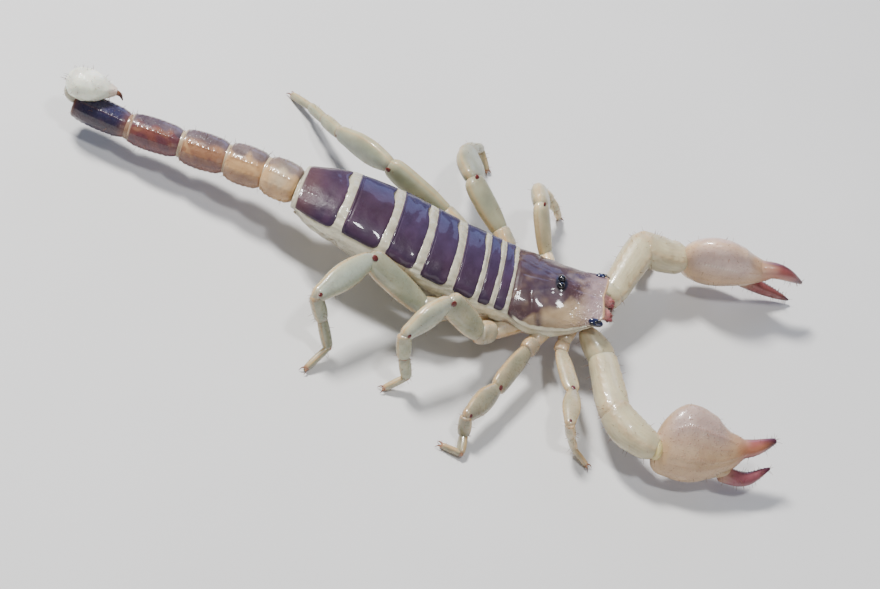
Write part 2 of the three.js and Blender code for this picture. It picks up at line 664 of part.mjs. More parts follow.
Object.entries(eyes).forEach(([sideName, side]) => {
  const jawPoint = (along, left, up) => onNeck(along, side * left, up);
  const body = curveRings(
    [jawPoint(11.4, 1.15, -0.2), jawPoint(13.6, 1.25, -0.2), jawPoint(15.6, 1.3, -0.7)],
    neck.left,
    4,
    (place) => [1.0 - 0.3 * place ** 3, 0.95 - 0.35 * place ** 3],
  );
  const fang = (left) =>
    loft(
      curveRings(
        [jawPoint(15.2, left, -0.7), jawPoint(16.4, left + 0.05, -0.9), jawPoint(16.9, left - 0.25, -1.6)],
        neck.left,
        3,
        (place) => [0.5 - 0.26 * place, 0.5 - 0.26 * place],
      ),
      FINE_SIDES,
    );
  const jaw = joined([loft(body, SLIM_SIDES), fang(0.85), fang(1.75)]);
  const clear = [loft(grown(breastRings)), carapacePlate(CLEARANCE), ...armReach];
  addPart(`jaw_${sideName}`, cut(jaw, ...clear), COLOURS.jaw);
  armReach.push(loft(grown(body), SLIM_SIDES));
});

const breast = joined([loft(breastRings), ...legBases]);
const trunkTool = loft(grown(trunkRings), TRUNK_SIDES);
addPart("breast", cut(breast, carapacePlate(CLEARANCE), trunkTool, ...legReach, ...armReach), COLOURS.skin);

const plateTools = BACK_PLATES.map((_, index) => backPlate(index, CLEARANCE));
addPart(
  "trunk",
  cut(loft(trunkRings, TRUNK_SIDES), carapacePlate(CLEARANCE), ...plateTools, ...legReach),
  COLOURS.skin,
);

// ---- combs under the front of the trunk

Object.entries(eyes).forEach(([sideName, side]) => {
  const combPoint = (back, aside, down) => {
    const at = trunk[1];
    return plus(plus(plus(at.point, at.ahead, -back), at.left, side * aside), at.up, -down);
  };
  const spineRings = curveRings(
    [combPoint(0.6, 0.8, 6.0), combPoint(2.4, 3.2, 6.1), combPoint(4.6, 5.4, 6.0)],
    UP,
    3,
    (place) => [0.3, 0.75 - 0.25 * place],
  );
  const teeth = Array.from({ length: 5 }, (_, k) => {
    const share = 0.15 + k * 0.17;
    const root = combPoint(0.6 + 4.0 * share, 0.8 + 4.6 * share, 6.05);
    const tip = combPoint(2.1 + 4.0 * share, 0.1 + 4.6 * share, 6.05);
    return loft(segmentRings(root, tip, UP, [[0, 0.26, 0.28], [1, 0.18, 0.28]]), FINE_SIDES);
  });
  const comb = joined([loft(spineRings, FINE_SIDES), ...teeth]);
  addPart(`comb_${sideName}`, cut(comb, trunkTool, ...legReach), COLOURS.skin);
});

// ---- tail

const tailProfile = [
  [0.0, 0.6],
  [0.07, 0.84],
  [0.35, 1.0],
  [0.7, 0.98],
  [0.96, 0.82],
];
const tailLooks = [COLOURS.tailFront, COLOURS.tailFront, COLOURS.tailMiddle, COLOURS.tailMiddle, COLOURS.tailRear];
const tailStart = plus(trunk[trunk.length - 1].point, UP, -TAIL_DROP);
let tailJoint = plus(tailStart, trunk[trunk.length - 1].left, TAIL_ASIDE);
let ringBefore = null;
TAIL_RINGS.forEach((row, index) => {
  const back = heading(row.turn, row.fall).multiplyScalar(-1);
  const end = plus(tailJoint, back, row.length);
  const across = heading(row.turn + 90, 0).multiplyScalar(-1);
  const rings = tailProfile.map(([place, size]) => ({
    centre: tailJoint.clone().lerp(end, place),
    across,
    up: back.clone().cross(across),
    half: row.width * 0.5 * size,
    high: row.height * 0.5 * size,
    low: row.height * 0.5 * size,
  }));
  const tools = ringBefore ? [loft(grown(ringBefore))] : [trunkEndTool()];
  addPart(`tail_${index + 1}`, cut(loft(rings), ...tools), tailLooks[index]);
  ringBefore = rings;
  tailJoint = end;
});

function trunkEndTool() {
  return joined([trunkTool, backPlate(BACK_PLATES.length - 1, CLEARANCE)]);
}

// ---- bulb and sting, folded forward over the last ring

const lastRing = TAIL_RINGS[TAIL_RINGS.length - 1];
const bulbAhead = heading(VESICLE.turn, VESICLE.lift);
const bulbLeft = heading(VESICLE.turn + 90, 0);
const tailBack = heading(lastRing.turn, 0).multiplyScalar(-1);
const bulbRear = plus(plus(plus(tailJoint, tailBack, VESICLE.back), UP, VESICLE.rise - 0.5), bulbLeft, VESICLE.aside);
const bulbProfile = [
  [-0.02, 0.38],
  [0.1, 0.72],
  [0.25, 0.94],
  [0.48, 1.0],
  [0.7, 0.86],
  [0.88, 0.56],
  [1.0, 0.3],
];
const bulbRings = bulbProfile.map(([place, size]) => ({
  centre: plus(bulbRear, bulbAhead, place * VESICLE.length),
  across: bulbLeft,
  up: bulbAhead.clone().cross(bulbLeft),
  half: VESICLE.width * 0.5 * size,
  high: VESICLE.height * 0.5 * size,
  low: VESICLE.height * 0.5 * size,
}));
const bulbStem = curveRings(
  [plus(tailJoint, UP, 1.0), plus(plus(tailJoint, tailBack, 1.0), UP, 2.0), plus(bulbRear, bulbAhead, 1.0)],
  bulbLeft,
  3,
  () => [1.15, 0.9],
);
const stingPath = [
  plus(bulbRear, bulbAhead, VESICLE.length * 0.93),
  plus(plus(bulbRear, bulbAhead, VESICLE.length + 0.9), UP, -0.35),
  plus(plus(bulbRear, bulbAhead, VESICLE.length + 2.0), UP, -1.5),
];
const stingRings = curveRings(stingPath, bulbLeft, 5, (place) => [0.62 - 0.36 * place, 0.62 - 0.36 * place]);
const bulb = joined([loft(bulbRings), loft(bulbStem)]);
addPart("bulb", cut(bulb, loft(grown(ringBefore)), loft(grown(stingRings, CLEARANCE / 2), SLIM_SIDES)), COLOURS.vesicle);
addPart("sting", loft(stingRings, SLIM_SIDES), COLOURS.sting);

export default scorpion;
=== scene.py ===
"""Burrowing scorpion, life size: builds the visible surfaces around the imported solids.

Sizes are in millimetres in the animal's own frame (+X to the head, +Y to its left, +Z up) and
become metres when a mesh is made. Run as a script; the panel lists the same steps.
"""

import json
from types import SimpleNamespace

import bpy
import numpy as np
from bpy.props import FloatProperty, FloatVectorProperty, IntProperty, PointerProperty
from mathutils import Matrix, Vector

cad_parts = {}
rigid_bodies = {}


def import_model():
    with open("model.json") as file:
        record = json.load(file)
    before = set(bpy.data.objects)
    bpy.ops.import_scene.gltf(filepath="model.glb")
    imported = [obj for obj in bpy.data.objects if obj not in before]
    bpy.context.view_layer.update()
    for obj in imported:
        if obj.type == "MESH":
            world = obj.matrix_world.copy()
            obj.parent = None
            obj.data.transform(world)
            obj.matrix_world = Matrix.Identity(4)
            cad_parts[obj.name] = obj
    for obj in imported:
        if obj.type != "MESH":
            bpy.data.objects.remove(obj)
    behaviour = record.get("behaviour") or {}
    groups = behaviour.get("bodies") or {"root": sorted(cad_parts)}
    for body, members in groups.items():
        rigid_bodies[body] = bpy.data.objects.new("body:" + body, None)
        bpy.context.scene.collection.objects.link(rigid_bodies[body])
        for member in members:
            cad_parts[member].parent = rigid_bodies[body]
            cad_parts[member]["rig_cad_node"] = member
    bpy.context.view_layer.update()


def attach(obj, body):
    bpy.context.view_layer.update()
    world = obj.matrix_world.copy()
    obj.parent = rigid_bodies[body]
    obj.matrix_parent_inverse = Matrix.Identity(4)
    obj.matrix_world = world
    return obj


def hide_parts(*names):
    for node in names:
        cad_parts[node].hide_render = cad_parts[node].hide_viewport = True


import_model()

bl_info = {
    "name": "Burrowing Scorpion",
    "version": (1, 0, 0),
    "blender": (4, 5, 0),
    "location": "View3D > Sidebar > Scorpion",
    "description": "Builds a life-size burrowing scorpion on its packed solids",
    "category": "Add Mesh",
}

# ---- sizes shared with the solids

MIDDLE = np.array([1.07, -0.11, 0.0])  # from the animal's own frame to the frame of the solids
UP = np.array([0.0, 0.0, 1.0])
WAIST = np.array([11.9, -0.5, 8.2])
SIDES = {"left": 1, "right": -1}

CARAPACE_LENGTH = 14.6
CARAPACE_REAR = 6.65
CARAPACE_WIDEST = 6.85
CARAPACE_FRONT = 4.5
CARAPACE_ARCH = 2.7
CARAPACE_SAG = 2.2
CORNER_RISE = 1.6
FRONT_NOTCH = 0.6
NECK_TURN = 1.0
NECK_LIFT = 7.0
EYE_PLACE = 0.485
EYE_SPACING = 0.95
SIDE_EYES = ((0.895, 1.0), (0.935, 0.95), (0.965, 0.8))  # place along the carapace, share of the radius

# length, rear width, arch, turn and rise of each back plate
BACK_PLATES = np.array([
    [2.4, 13.5, 2.6, 0, 2],
    [2.7, 13.7, 2.75, 0, 5],
    [4.2, 13.7, 2.9, 0, 6],
    [5.3, 13.8, 3.0, -2, 8],
    [5.9, 13.3, 3.0, -4, 9],
    [7.0, 12.2, 2.8, -5, 2],
    [7.9, 8.4, 2.2, -6, -8],
])
WAIST_WIDTH = 13.3
WAIST_ARCH = 2.5
BANDS = [0.7, 0.7, 0.7, 1.15, 1.15, 1.15, 1.15]  # width of the skin shown before each plate
BELLY_DEPTH = 5.6
ARCH_SPAN = np.radians(84)  # how far the back's arch goes round to each side
BLUE_SHEEN_PLATES = 5  # how many front plates get a painted pale blue sheen over the middle and the left side
PLATE_EDGE, PLATE_DEPTH, CARAPACE_DEPTH = 0.26, 0.5, 0.7

# length, width, height, turn and fall of each tail ring
TAIL_RINGS = [
    [5.5, 6.2, 5.6, -16, 10.8],
    [6.15, 6.1, 5.5, -8.5, 10],
    [7.2, 5.6, 5.1, -5.2, 8.6],
    [8.3, 5.0, 4.7, -3.8, 6.4],
    [9.0, 4.6, 4.4, -8.3, 3.4],
]
# the bulb's own sizes, and how it stands behind and above the end of the tail
BULB = {
    "length": 7.3, "width": 4.9, "height": 4.7,
    "rise": 3.5, "back": 2.1, "aside": 0.4, "turn": 6, "lift": 2,
}

# hip, lengths of thigh, shin and the foot's three parts, and their greatest depths
LEG_PAIRS = [
    ([22.0, 7.5, 5.4], [7.8, 6.6, 3.1, 3.0, 3.0], [2.5, 2.6, 1.8, 1.4, 1.1]),
    ([17.0, 9.4, 5.2], [8.8, 7.8, 3.3, 3.1, 3.0], [3.1, 3.3, 2.1, 1.6, 1.2]),
    ([9.0, 10.2, 6.2], [9.2, 8.8, 4.2, 3.9, 3.7], [4.0, 3.7, 2.4, 1.9, 1.35]),
    ([0.0, 9.5, 6.6], [11.6, 11.0, 4.9, 4.7, 4.6], [4.1, 3.8, 2.4, 1.9, 1.4]),
]
SOLE_HEIGHT = 0.5
PAD_RADIUS = 0.27
# azimuth and rise of each part of a leg, then the last part's azimuth; its fall meets the floor
STANCE = {
    "right": [
        [[-69.5, 7], [-87, 4], [8, -66], [0, -60], -30],
        [[-112, -5], [-118, 0], [-45, -68], [-86, -10], 170],
        [[-170, 43], [-126, -17], [-30, -68], [-22, -62], -146],
        [[172, 26], [-125, -8], [-5, -62], [-37, -50], -121],
    ],
    "left": [
        [[9, -18], [70, 8], [62, -28], [52, -22], 40],
        [[138, 52], [84, -35], [28, -42], [19, -50], 30],
        [[148, 28], [98, -21], [65, -37], [63, -37], -46],
        [[170, 20], [144, -20], [126, -27], [125, -27], 138],
    ],
}
COXA_ROOTS = [10.4, 7.6, 4.9, 2.4]  # how far ahead of the waist each leg's base starts
COXA_DEPTHS = [1.2, 1.35, 1.7, 1.8]
COXA_SAGS = [0, 0, 1.1, 0.7]

UPPER_ARM, FOREARM, HAND = 10.4, 7.8, 13.0
UPPER_WIDTH, FOREARM_WIDTH = 5.2, 5.9
# azimuth and rise of each part; fixed and moving: where a finger's tip and middle stand
ARM_POSES = {
    "right": {
        "root": [28.4, -6.3, 5.8], "upper": [-73, 5.5], "forearm": [-23, -4.1], "bow": 1.1,
        "hand": [13.5, -1], "roll": 45,
        "fixed": [6.5, 3.5, -0.75], "moving": [6.2, -1.0, -1.3],
    },
    "left": {
        "root": [28.1, 5.4, 6.0], "upper": [73, 14], "forearm": [17, -15], "bow": 0.5,
        "hand": [8.9, 2.3], "roll": 80,
        "fixed": [7.5, -0.3, 1.4], "moving": [7.8, -6.6, -0.2],
    },
}


def unit(vectors):
    """Vectors divided by their lengths."""
    return vectors / np.linalg.norm(vectors, axis=-1, keepdims=True)


def heading(azimuth, elevation):
    """Unit vector turned by azimuth from +X and climbing by elevation, in degrees."""
    turn, climb = np.radians(azimuth), np.radians(elevation)
    return np.array([np.cos(turn) * np.cos(climb), np.sin(turn) * np.cos(climb), np.sin(climb)])


def body_axes(azimuth, elevation):
    """Ahead, left and up of a part of the body."""
    ahead = heading(azimuth, elevation)
    left = heading(azimuth + 90, 0)
    return ahead, left, np.cross(ahead, left)


def step(low, high, values):
    """0 below low, 1 above high, with a smooth rise between them."""
    t = np.clip((values - low) / (high - low), 0, 1)
    return t * t * (3 - 2 * t)


def between(low, rising, falling, high, values):
    """1 in the middle of a range, with a smooth rise from low and a smooth fall to high."""
    return step(low, rising, values) * (1 - step(falling, high, values))


def bell(values, centre, width):
    """Smooth bump of height 1 around a centre."""
    return np.exp(-(((values - centre) / width) ** 2))


def around(sides):
    """Angles of a ring's points, evenly spaced over a full turn."""
    return 2 * np.pi * np.arange(sides) / sides


def ridge(angle, degrees, width):
    """Smooth bump of height 1 round a ring, at a direction in degrees."""
    return bell((angle - np.radians(degrees) + np.pi) % (2 * np.pi) - np.pi, 0, width)


def eased(places, rows):
    """Rows [place, a, b, ...] joined by a cubic with matching slopes, read at many places."""
    rows = np.asarray(rows, float)
    x, y = rows[:, 0], rows[:, 1:]
    slope = np.gradient(y, x, axis=0)
    i = np.clip(np.searchsorted(x, places, side="right") - 1, 0, len(x) - 2)
    gap = (x[i + 1] - x[i])[:, None]
    t = np.clip((places - x[i])[:, None] / gap, 0, 1)
    start = y[i] * (1 + 2 * t) * (1 - t) ** 2 + slope[i] * gap * t * (1 - t) ** 2
    return start + y[i + 1] * t * t * (3 - 2 * t) + slope[i + 1] * gap * t * t * (t - 1)


def clustered(count):
    """Places from 0 to 1, closer together at both ends, as the shadow of a turning point."""
    return 0.5 - 0.5 * np.cos(np.linspace(0, np.pi, count))


def scatter(count, columns, seed):
    """Repeatable random numbers from 0 to 1."""
    return np.random.default_rng(seed).random((count, columns))


def ripples(points, size, seed, waves=10):
    """Soft irregular field, about -1 to 1: a sum of sines in random directions."""
    draws = scatter(waves, 5, seed)
    directions = unit(draws[:, :3] - 0.5) * (2 * np.pi / size) * (0.6 + 0.9 * draws[:, 3:4])
    phase = points @ directions.T + 2 * np.pi * draws[:, 4]
    return np.sin(phase).sum(-1) / np.sqrt(waves / 2) * 0.7


def marbled(u, v, size, seed, waves=10):
    """Ripples over a surface's two coordinates."""
    return ripples(np.stack([u, v, 0 * u], -1), size, seed, waves)


# ---- closed surfaces


def rows_of(points, colour, grain):
    """Points with their colours and grain strengths, as rows of seven numbers."""
    colour = np.broadcast_to(colour, points.shape)
    grain = np.broadcast_to(grain, points.shape[:-1])[..., None]
    return np.concatenate([points, colour, grain], -1)


class Form:
    """Closed surfaces gathered into one mesh, with a colour and a grain strength at each point."""

    def __init__(self):
        self.rows, self.quads, self.triangles = [], [], []
        self.total = 0

    def add(self, rows, quads, triangles):
        """Adds one closed surface; its faces are turned if they enclose a negative volume."""
        quads = np.asarray(quads, int).reshape(-1, 4)
        triangles = np.asarray(triangles, int).reshape(-1, 3)
        halves = np.concatenate([quads[:, [0, 1, 2]], quads[:, [0, 2, 3]], triangles])
        a, b, c = (rows[:, :3] - rows[:, :3].mean(0))[halves.T]
        if np.einsum("ij,ij->i", a, np.cross(b, c)).sum() < 0:
            quads, triangles = quads[:, ::-1], triangles[:, ::-1]
        self.rows.append(rows)
        self.quads.append(quads + self.total)
        self.triangles.append(triangles + self.total)
        self.total += len(rows)

    def add_tube(self, rings, colour, grain=0.0):
        """Rings of points joined in order, with a fan of triangles closing each end."""
        count, sides = rings.shape[:2]
        k = np.arange(sides)
        after = (k + 1) % sides
        r = np.arange(count - 1)[:, None] * sides
        quads = np.stack([r + k, r + after, r + sides + after, r + sides + k], -1)
        first, last = count * sides, count * sides + 1
        base = (count - 1) * sides
        triangles = np.concatenate([
            np.stack([np.full(sides, first), after, k], 1),
            np.stack([np.full(sides, last), base + k, base + after], 1),
        ])
        rows = rows_of(rings, colour, grain)
        middles = [rows[0].mean(0), rows[-1].mean(0)]
        self.add(np.concatenate([rows.reshape(-1, 7), middles]), quads, triangles)

    def add_sheet(self, outer, inner, colour, grain=0.0):
        """Two sheets of the same grid that share their border."""
        rows, columns = outer.shape[:2]
        top = np.arange(rows * columns).reshape(rows, columns)
        under = top.copy()
        under[1:-1, 1:-1] = rows * columns + np.arange((rows - 2) * (columns - 2)).reshape(rows - 2, -1)
        quad = lambda g: np.stack([g[:-1, :-1], g[1:, :-1], g[1:, 1:], g[:-1, 1:]], -1).reshape(-1, 4)
        outer, inner = (rows_of(sheet, colour, grain) for sheet in (outer, inner))
        both = np.concatenate([outer.reshape(-1, 7), inner[1:-1, 1:-1].reshape(-1, 7)])
        self.add(both, np.concatenate([quad(top), quad(under)[:, ::-1]]), [])

    def mesh(self, name):
        """The gathered surfaces as a mesh in metres, in the frame of the solids."""
        rows = np.concatenate(self.rows)
        points = (rows[:, :3] + MIDDLE) / 1000
        quads, triangles = np.concatenate(self.quads), np.concatenate(self.triangles)
        corners = np.concatenate([quads.ravel(), triangles.ravel()])
        totals = np.concatenate([np.full(len(quads), 4), np.full(len(triangles), 3)])
        starts = np.concatenate([[0], np.cumsum(totals)[:-1]])
        mesh = bpy.data.meshes.new(name)
        mesh.vertices.add(len(points))
        mesh.vertices.foreach_set("co", points.astype(np.float32).ravel())
        mesh.loops.add(len(corners))
        mesh.loops.foreach_set("vertex_index", corners.astype(np.int32))
        mesh.polygons.add(len(totals))
        mesh.polygons.foreach_set("loop_start", starts.astype(np.int32))
        mesh.polygons.foreach_set("loop_total", totals.astype(np.int32))
        mesh.polygons.foreach_set("use_smooth", np.ones(len(totals), bool))
        mesh.update(calc_edges=True)
        if mesh.validate():
            raise RuntimeError(f"{name} has faces that can't be used")
        tint = mesh.attributes.new("tint", "FLOAT_COLOR", "POINT")
        rgba = np.concatenate([np.clip(rows[:, 3:6], 0, 1), np.ones((len(rows), 1))], 1)
        tint.data.foreach_set("color", rgba.astype(np.float32).ravel())
        grain = mesh.attributes.new("grain", "FLOAT", "POINT")
        grain.data.foreach_set("value", rows[:, 6].astype(np.float32))
        return mesh


def place_piece(name, form, material, replaced):
    """Makes a piece's object, gives it its material and ties it to the frame."""
    piece = bpy.data.objects.new(name, form.mesh(name))
    bpy.context.scene.collection.objects.link(piece)
    piece.data.materials.append(material)
    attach(piece, "root")
    if replaced:
        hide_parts(*replaced)
    return piece


def place_shell(node, form, material):
    """Places the one piece that replaces a solid, named after it."""
    place_piece(f"{node}_shell", form, material, [node])


LEAST_CAP = 0.02  # share of its radius at which a closed end stops
POLE_GAP = 0.06  # how far, in radians, a ball's last ring stands from its pole


def capped(places, start, end):
    """Radius factor that closes a limb with a quarter of an oval over each end's share."""
    shares = np.clip(places / start, 0, 1), np.clip((1 - places) / end, 0, 1)
    near, far = (np.sqrt(np.clip(1 - (1 - share) ** 2, LEAST_CAP**2, 1)) for share in shares)
    return near * far


def section(sides, power=1.0):
    """Angle, and the two coordinates of a rounded square (power under 1) or an oval (power 1)."""
    angle = around(sides)
    c, s = np.cos(angle), np.sin(angle)
    return angle, np.sign(c) * np.abs(c) ** power, np.sign(s) * np.abs(s) ** power


def rings_on(path, across, half, high, low=None, sides=32, power=1.0, relief=None):
    """Rings along a path.

    Each ring is an oval in the plane square to the path: half wide along the across direction,
    high on one side and low on the other. relief(place, angle) is added outwards.
    """
    low = high if low is None else low
    ahead = unit(np.gradient(path, axis=0))
    side = np.broadcast_to(across, path.shape)
    side = unit(side - (side * ahead).sum(-1, keepdims=True) * ahead)
    up = np.cross(ahead, side)
    angle, c, s = section(sides, power)
    rise = np.where(s > 0, high[:, None], low[:, None]) * s
    reach = half[:, None] * c
    if relief is not None:
        places = np.linspace(0, 1, len(path))[:, None]
        extra = relief(places, angle[None, :])
        reach = reach + extra * np.cos(angle)
        rise = rise + extra * np.sin(angle)
    return path[:, None] + side[:, None] * reach[..., None] + up[:, None] * rise[..., None]


def curve_through(points, count, spacing=None):
    """Smooth path through points, read at even or given shares of its length."""
    points = np.asarray(points, float)
    gaps = np.linalg.norm(np.diff(points, axis=0), axis=1)
    knots = np.concatenate([[0], np.cumsum(gaps)]) / gaps.sum()
    places = np.linspace(0, 1, count) if spacing is None else spacing
    return eased(places, np.column_stack([knots, points]))


def straight(start, end, places):
    """Points between two ends at given shares of the way."""
    return start + (end - start) * places[:, None]


def ball(form, centre, radius, colour, grain=0.0, squash=(1, 1, 1), axes=None, steps=14, sides=20):
    """Ball, or an oval body along three axes: circles of latitude with a pole at each end."""
    reach = np.pi / 2 - POLE_GAP
    lat = np.linspace(-reach, reach, steps)
    _, c, s = section(sides)
    local = np.stack([
        np.cos(lat)[:, None] * c * squash[0],
        np.cos(lat)[:, None] * s * squash[1],
        np.broadcast_to(np.sin(lat)[:, None] * squash[2], (steps, sides)),
    ], -1) * radius
    if axes is not None:
        local = local @ np.asarray(axes)
    form.add_tube(centre + local, colour, grain)


def add_horn(form, points, across, radius, flatness, first, last, sides, grain=0.0, shares=None):
    """A bent cone: rings of the given radii along a smooth path, from one colour to another.

    The rings are narrower by flatness in the across direction; shares says how far the colour
    has changed at each ring.
    """
    count = len(radius)
    shares = np.linspace(0, 1, count) if shares is None else shares
    rings = rings_on(curve_through(points, count), across, radius * flatness, radius, sides=sides)
    form.add_tube(rings, blend(first, last, shares[:, None] * np.ones(sides)), grain)


def bristles(roots, directions, lengths, thickness, droop, seed):
    """Tapered hairs as one set of points and faces.

    Each hair has three rings of three points along a path that starts in its direction and
    bends down by droop, and a point at its tip. Ten points make one hair.
    """
    count = len(roots)
    directions = unit(directions)
    across = unit(np.cross(directions, UP + 0.01 * (scatter(count, 3, seed) - 0.5)))
    other = np.cross(directions, across)
    shares = np.array([0.0, 0.4, 0.75])
    angle = around(3)
    path = roots[:, None] + directions[:, None] * (shares[:, None] * lengths[:, None, None])
    path = path - UP * (droop * lengths[:, None, None] * shares[:, None] ** 2)
    radius = thickness * (1 - 0.75 * shares)[None, :, None, None]
    ring = across[:, None, None] * np.cos(angle)[:, None] + other[:, None, None] * np.sin(angle)[:, None]
    rings = path[:, :, None] + ring * radius
    tips = roots + directions * lengths[:, None] - UP * (droop * lengths[:, None])
    points = np.concatenate([rings.reshape(count, 9, 3), tips[:, None]], 1).reshape(-1, 3)
    k, after = np.arange(3), (np.arange(3) + 1) % 3
    one = [np.stack([k + r, after + r, after + r + 3, k + r + 3], 1) for r in (0, 3)]
    quads = np.concatenate(one)
    triangles = np.concatenate([[[2, 1, 0]], np.stack([k + 6, after + 6, np.full(3, 9)], 1)])
    start = 10 * np.arange(count)[:, None, None]
    return points, (quads + start).reshape(-1, 4), (triangles + start).reshape(-1, 3)


# ---- colours and sizes to change


def linear(red, green, blue):
    """A screen colour, 0 to 255, as the linear values that shaders use."""
    share = np.array([red, green, blue]) / 255
    return tuple(np.where(share <= 0.04045, share / 12.92, ((share + 0.055) / 1.055) ** 2.4))


def colour(name, description, *screen):
    """A colour property with a screen colour as its default."""
    return FloatVectorProperty(
        name=name, description=description, subtype="COLOR", size=3, min=0, max=1, default=linear(*screen)
    )


def size(name, description, usual, least, most):
    """A size property in millimetres."""
    return FloatProperty(name=name, description=description, default=usual, min=least, max=most)


USUAL_GLOW = 0.35


class ScorpionColours(bpy.types.PropertyGroup):
    """Colours of the shell, the skin and the eyes."""

    plate: colour("Back plate", "Middle of the back plates", 58, 38, 56)
    # the sides' own indigo, and also the base of the painted blue reflection and sheen on the left of the
    # back plates and the carapace
    plate_side_and_reflection: colour("Back plate side", "Sides of the back plates", 42, 35, 66)
    plate_rim: colour("Back plate rim", "Thin rear edge of the back plates", 120, 84, 66)
    skin: colour("Skin", "Soft skin between the plates", 188, 183, 162)
    # painted shade for the skin's folds, the skin under the plates and the lower flanks
    skin_painted_shade: colour("Skin fold", "Depths of the skin's folds", 150, 138, 112)
    dome: colour("Carapace", "Dark middle and rear of the carapace", 58, 36, 46)
    window: colour("Carapace side", "Pale windows at the carapace's sides", 160, 138, 108)
    brow: colour("Carapace front", "Grained front of the carapace", 142, 120, 120)
    leg: colour("Leg", "Middle of the leg shells", 166, 166, 140)
    leg_warm: colour("Front leg", "Warmer shells of the two front pairs", 190, 172, 138)
    leg_edge: colour("Leg edge", "Amber upper and lower edges of the legs", 196, 158, 104)
    joint: colour("Joint", "Brownish ends of the segments", 160, 112, 80)
    condyle: colour("Hinge spot", "Dark red hinge points of the legs", 92, 34, 34)
    arm: colour("Arm", "Upper arm and forearm", 197, 186, 152)
    hand: colour("Hand", "Upper face of the hands", 180, 156, 146)
    hand_edge: colour("Hand edge", "Lower faces and keels of the hands", 196, 164, 124)
    finger: colour("Finger", "Middle of the fingers", 152, 84, 82)
    finger_tip: colour("Finger edge", "Biting edges and tips of the fingers", 74, 28, 48)
    eye: colour("Eye", "Eyes and the dark shell round them", 8, 10, 20)
    jaw: colour("Jaw", "Jaws", 204, 156, 144)
    jaw_front: colour("Jaw front", "Front of the jaws", 184, 104, 108)
    tail_first: colour("First tail ring", "Peach of the first tail rings", 196, 158, 112)
    tail_second: colour("Middle tail ring", "Red-brown of the middle tail rings", 116, 70, 52)
    # painted reflection: grey of the sky on the upper left side of the tail rings
    tail_sky_sheen: colour("Smoky tail side", "Grey upper left side of the tail rings", 88, 82, 94)
    tail_last: colour("Last tail ring", "Indigo of the last tail ring", 38, 34, 58)
    bulb: colour("Bulb", "Ivory of the bulb", 248, 251, 234)
    sting: colour("Sting", "Dark red of the sting", 96, 40, 34)
    belly: colour("Belly", "Plates under the trunk", 196, 182, 146)
    hair: colour("Hair", "Short stiff hairs", 122, 80, 52)


class ScorpionSizes(bpy.types.PropertyGroup):
    """Sizes of the finer features, in millimetres."""

    eye_radius: size("Middle eye", "Radius of a middle eye, mm", 0.6, 0.3, 0.8)
    side_eye_radius: size("Side eye", "Radius of a side eye, mm", 0.34, 0.1, 0.5)
    keel: size("Keel", "Height of the hand's and tail's keels, mm", 0.11, 0, 0.3)
    fold: size("Fold", "Depth of the skin's folds, mm", 0.12, 0, 0.4)
    hair_length: size("Hair", "Length of the longest hairs, mm", 1.5, 0.3, 3)
    hair_thickness: size("Hair thickness", "Radius at a hair's root, mm", 0.035, 0.02, 0.1)
    comb_teeth: IntProperty(name="Comb teeth", description="Teeth on each comb", default=16, min=5, max=30)
    glow: FloatProperty(
        name="Translucency", description="How much light sinks into pale shell",
        subtype="FACTOR", default=USUAL_GLOW, min=0, max=1,
    )


def tone(name):
    """One of the colours, as an array."""
    return np.array(getattr(bpy.context.scene.scorpion_colours, name))


def size_of(name):
    """One of the changeable sizes."""
    return getattr(bpy.context.scene.scorpion_sizes, name)


def blend(first, second, share):
    """Colours mixed by a share at every point."""
    share = np.clip(share, 0, 1)[..., None]
    return first * (1 - share) + second * share


# ---- the trunk's and carapace's shape


def trunk_line():
    """Points, left and up directions, half widths and arches at the plates' rear edges."""
    _, left, up = body_axes(0, 0)
    points, lefts, ups = [WAIST], [left], [up]
    for length, _, _, turn, rise in BACK_PLATES:
        points.append(points[-1] - heading(turn, -rise) * length)
        _, left, up = body_axes(turn, -rise)
        lefts.append(left)
        ups.append(up)
    half = np.concatenate([[WAIST_WIDTH], BACK_PLATES[:, 1]]) / 2
    arch = np.concatenate([[WAIST_ARCH], BACK_PLATES[:, 2]])
    return np.array(points), np.array(lefts), np.array(ups), half, arch


TRUNK = trunk_line()


def trunk_at(s):
    """The trunk's middle point, left, up, half width and arch; s counts plates from the waist."""
    points, lefts, ups, half, arch = TRUNK
    index = np.clip(np.floor(s).astype(int), 0, len(BACK_PLATES) - 1)
    place = s - index
    mix = lambda rows: rows[index] * (1 - place[..., None]) + rows[index + 1] * place[..., None]
    narrowing = np.where(index == len(BACK_PLATES) - 1, np.clip(place, 0, None) ** 1.7, place)
    width = half[index] * (1 - narrowing) + half[index + 1] * narrowing
    height = arch[index] * (1 - place) + arch[index + 1] * place
    return mix(points), unit(mix(lefts)), unit(mix(ups)), width, height


def on_back(s, share, inward=0.0):
    """A point of the arched back: share runs from -1 at the right edge to 1 at the left edge.

    Across the body it is a sine of the share, and above the edges a flattened cosine.
    """
    point, left, up, half, arch = trunk_at(s)
    angle = share * ARCH_SPAN
    reach = np.sin(angle) * (half - inward)
    rise = np.cos(angle) ** 0.8 * (arch - inward)
    return point + left * reach[..., None] + up * rise[..., None]


def belly_depth(s):
    """How far the trunk reaches below its side edges: less at the waist and towards the tail."""
    return BELLY_DEPTH - 0.7 * (1 - step(0, 2, s)) - 3.0 * step(5.2, 7, s) ** 1.5


NECK_AHEAD, NECK_LEFT, NECK_UP = body_axes(NECK_TURN, NECK_LIFT)


def on_neck(along, left, up):
    """A point given from the waist along the carapace's own axes."""
    along, left, up = np.broadcast_arrays(*[np.asarray(v, float) for v in (along, left, up)])
    return WAIST + along[..., None] * NECK_AHEAD + left[..., None] * NECK_LEFT + up[..., None] * NECK_UP


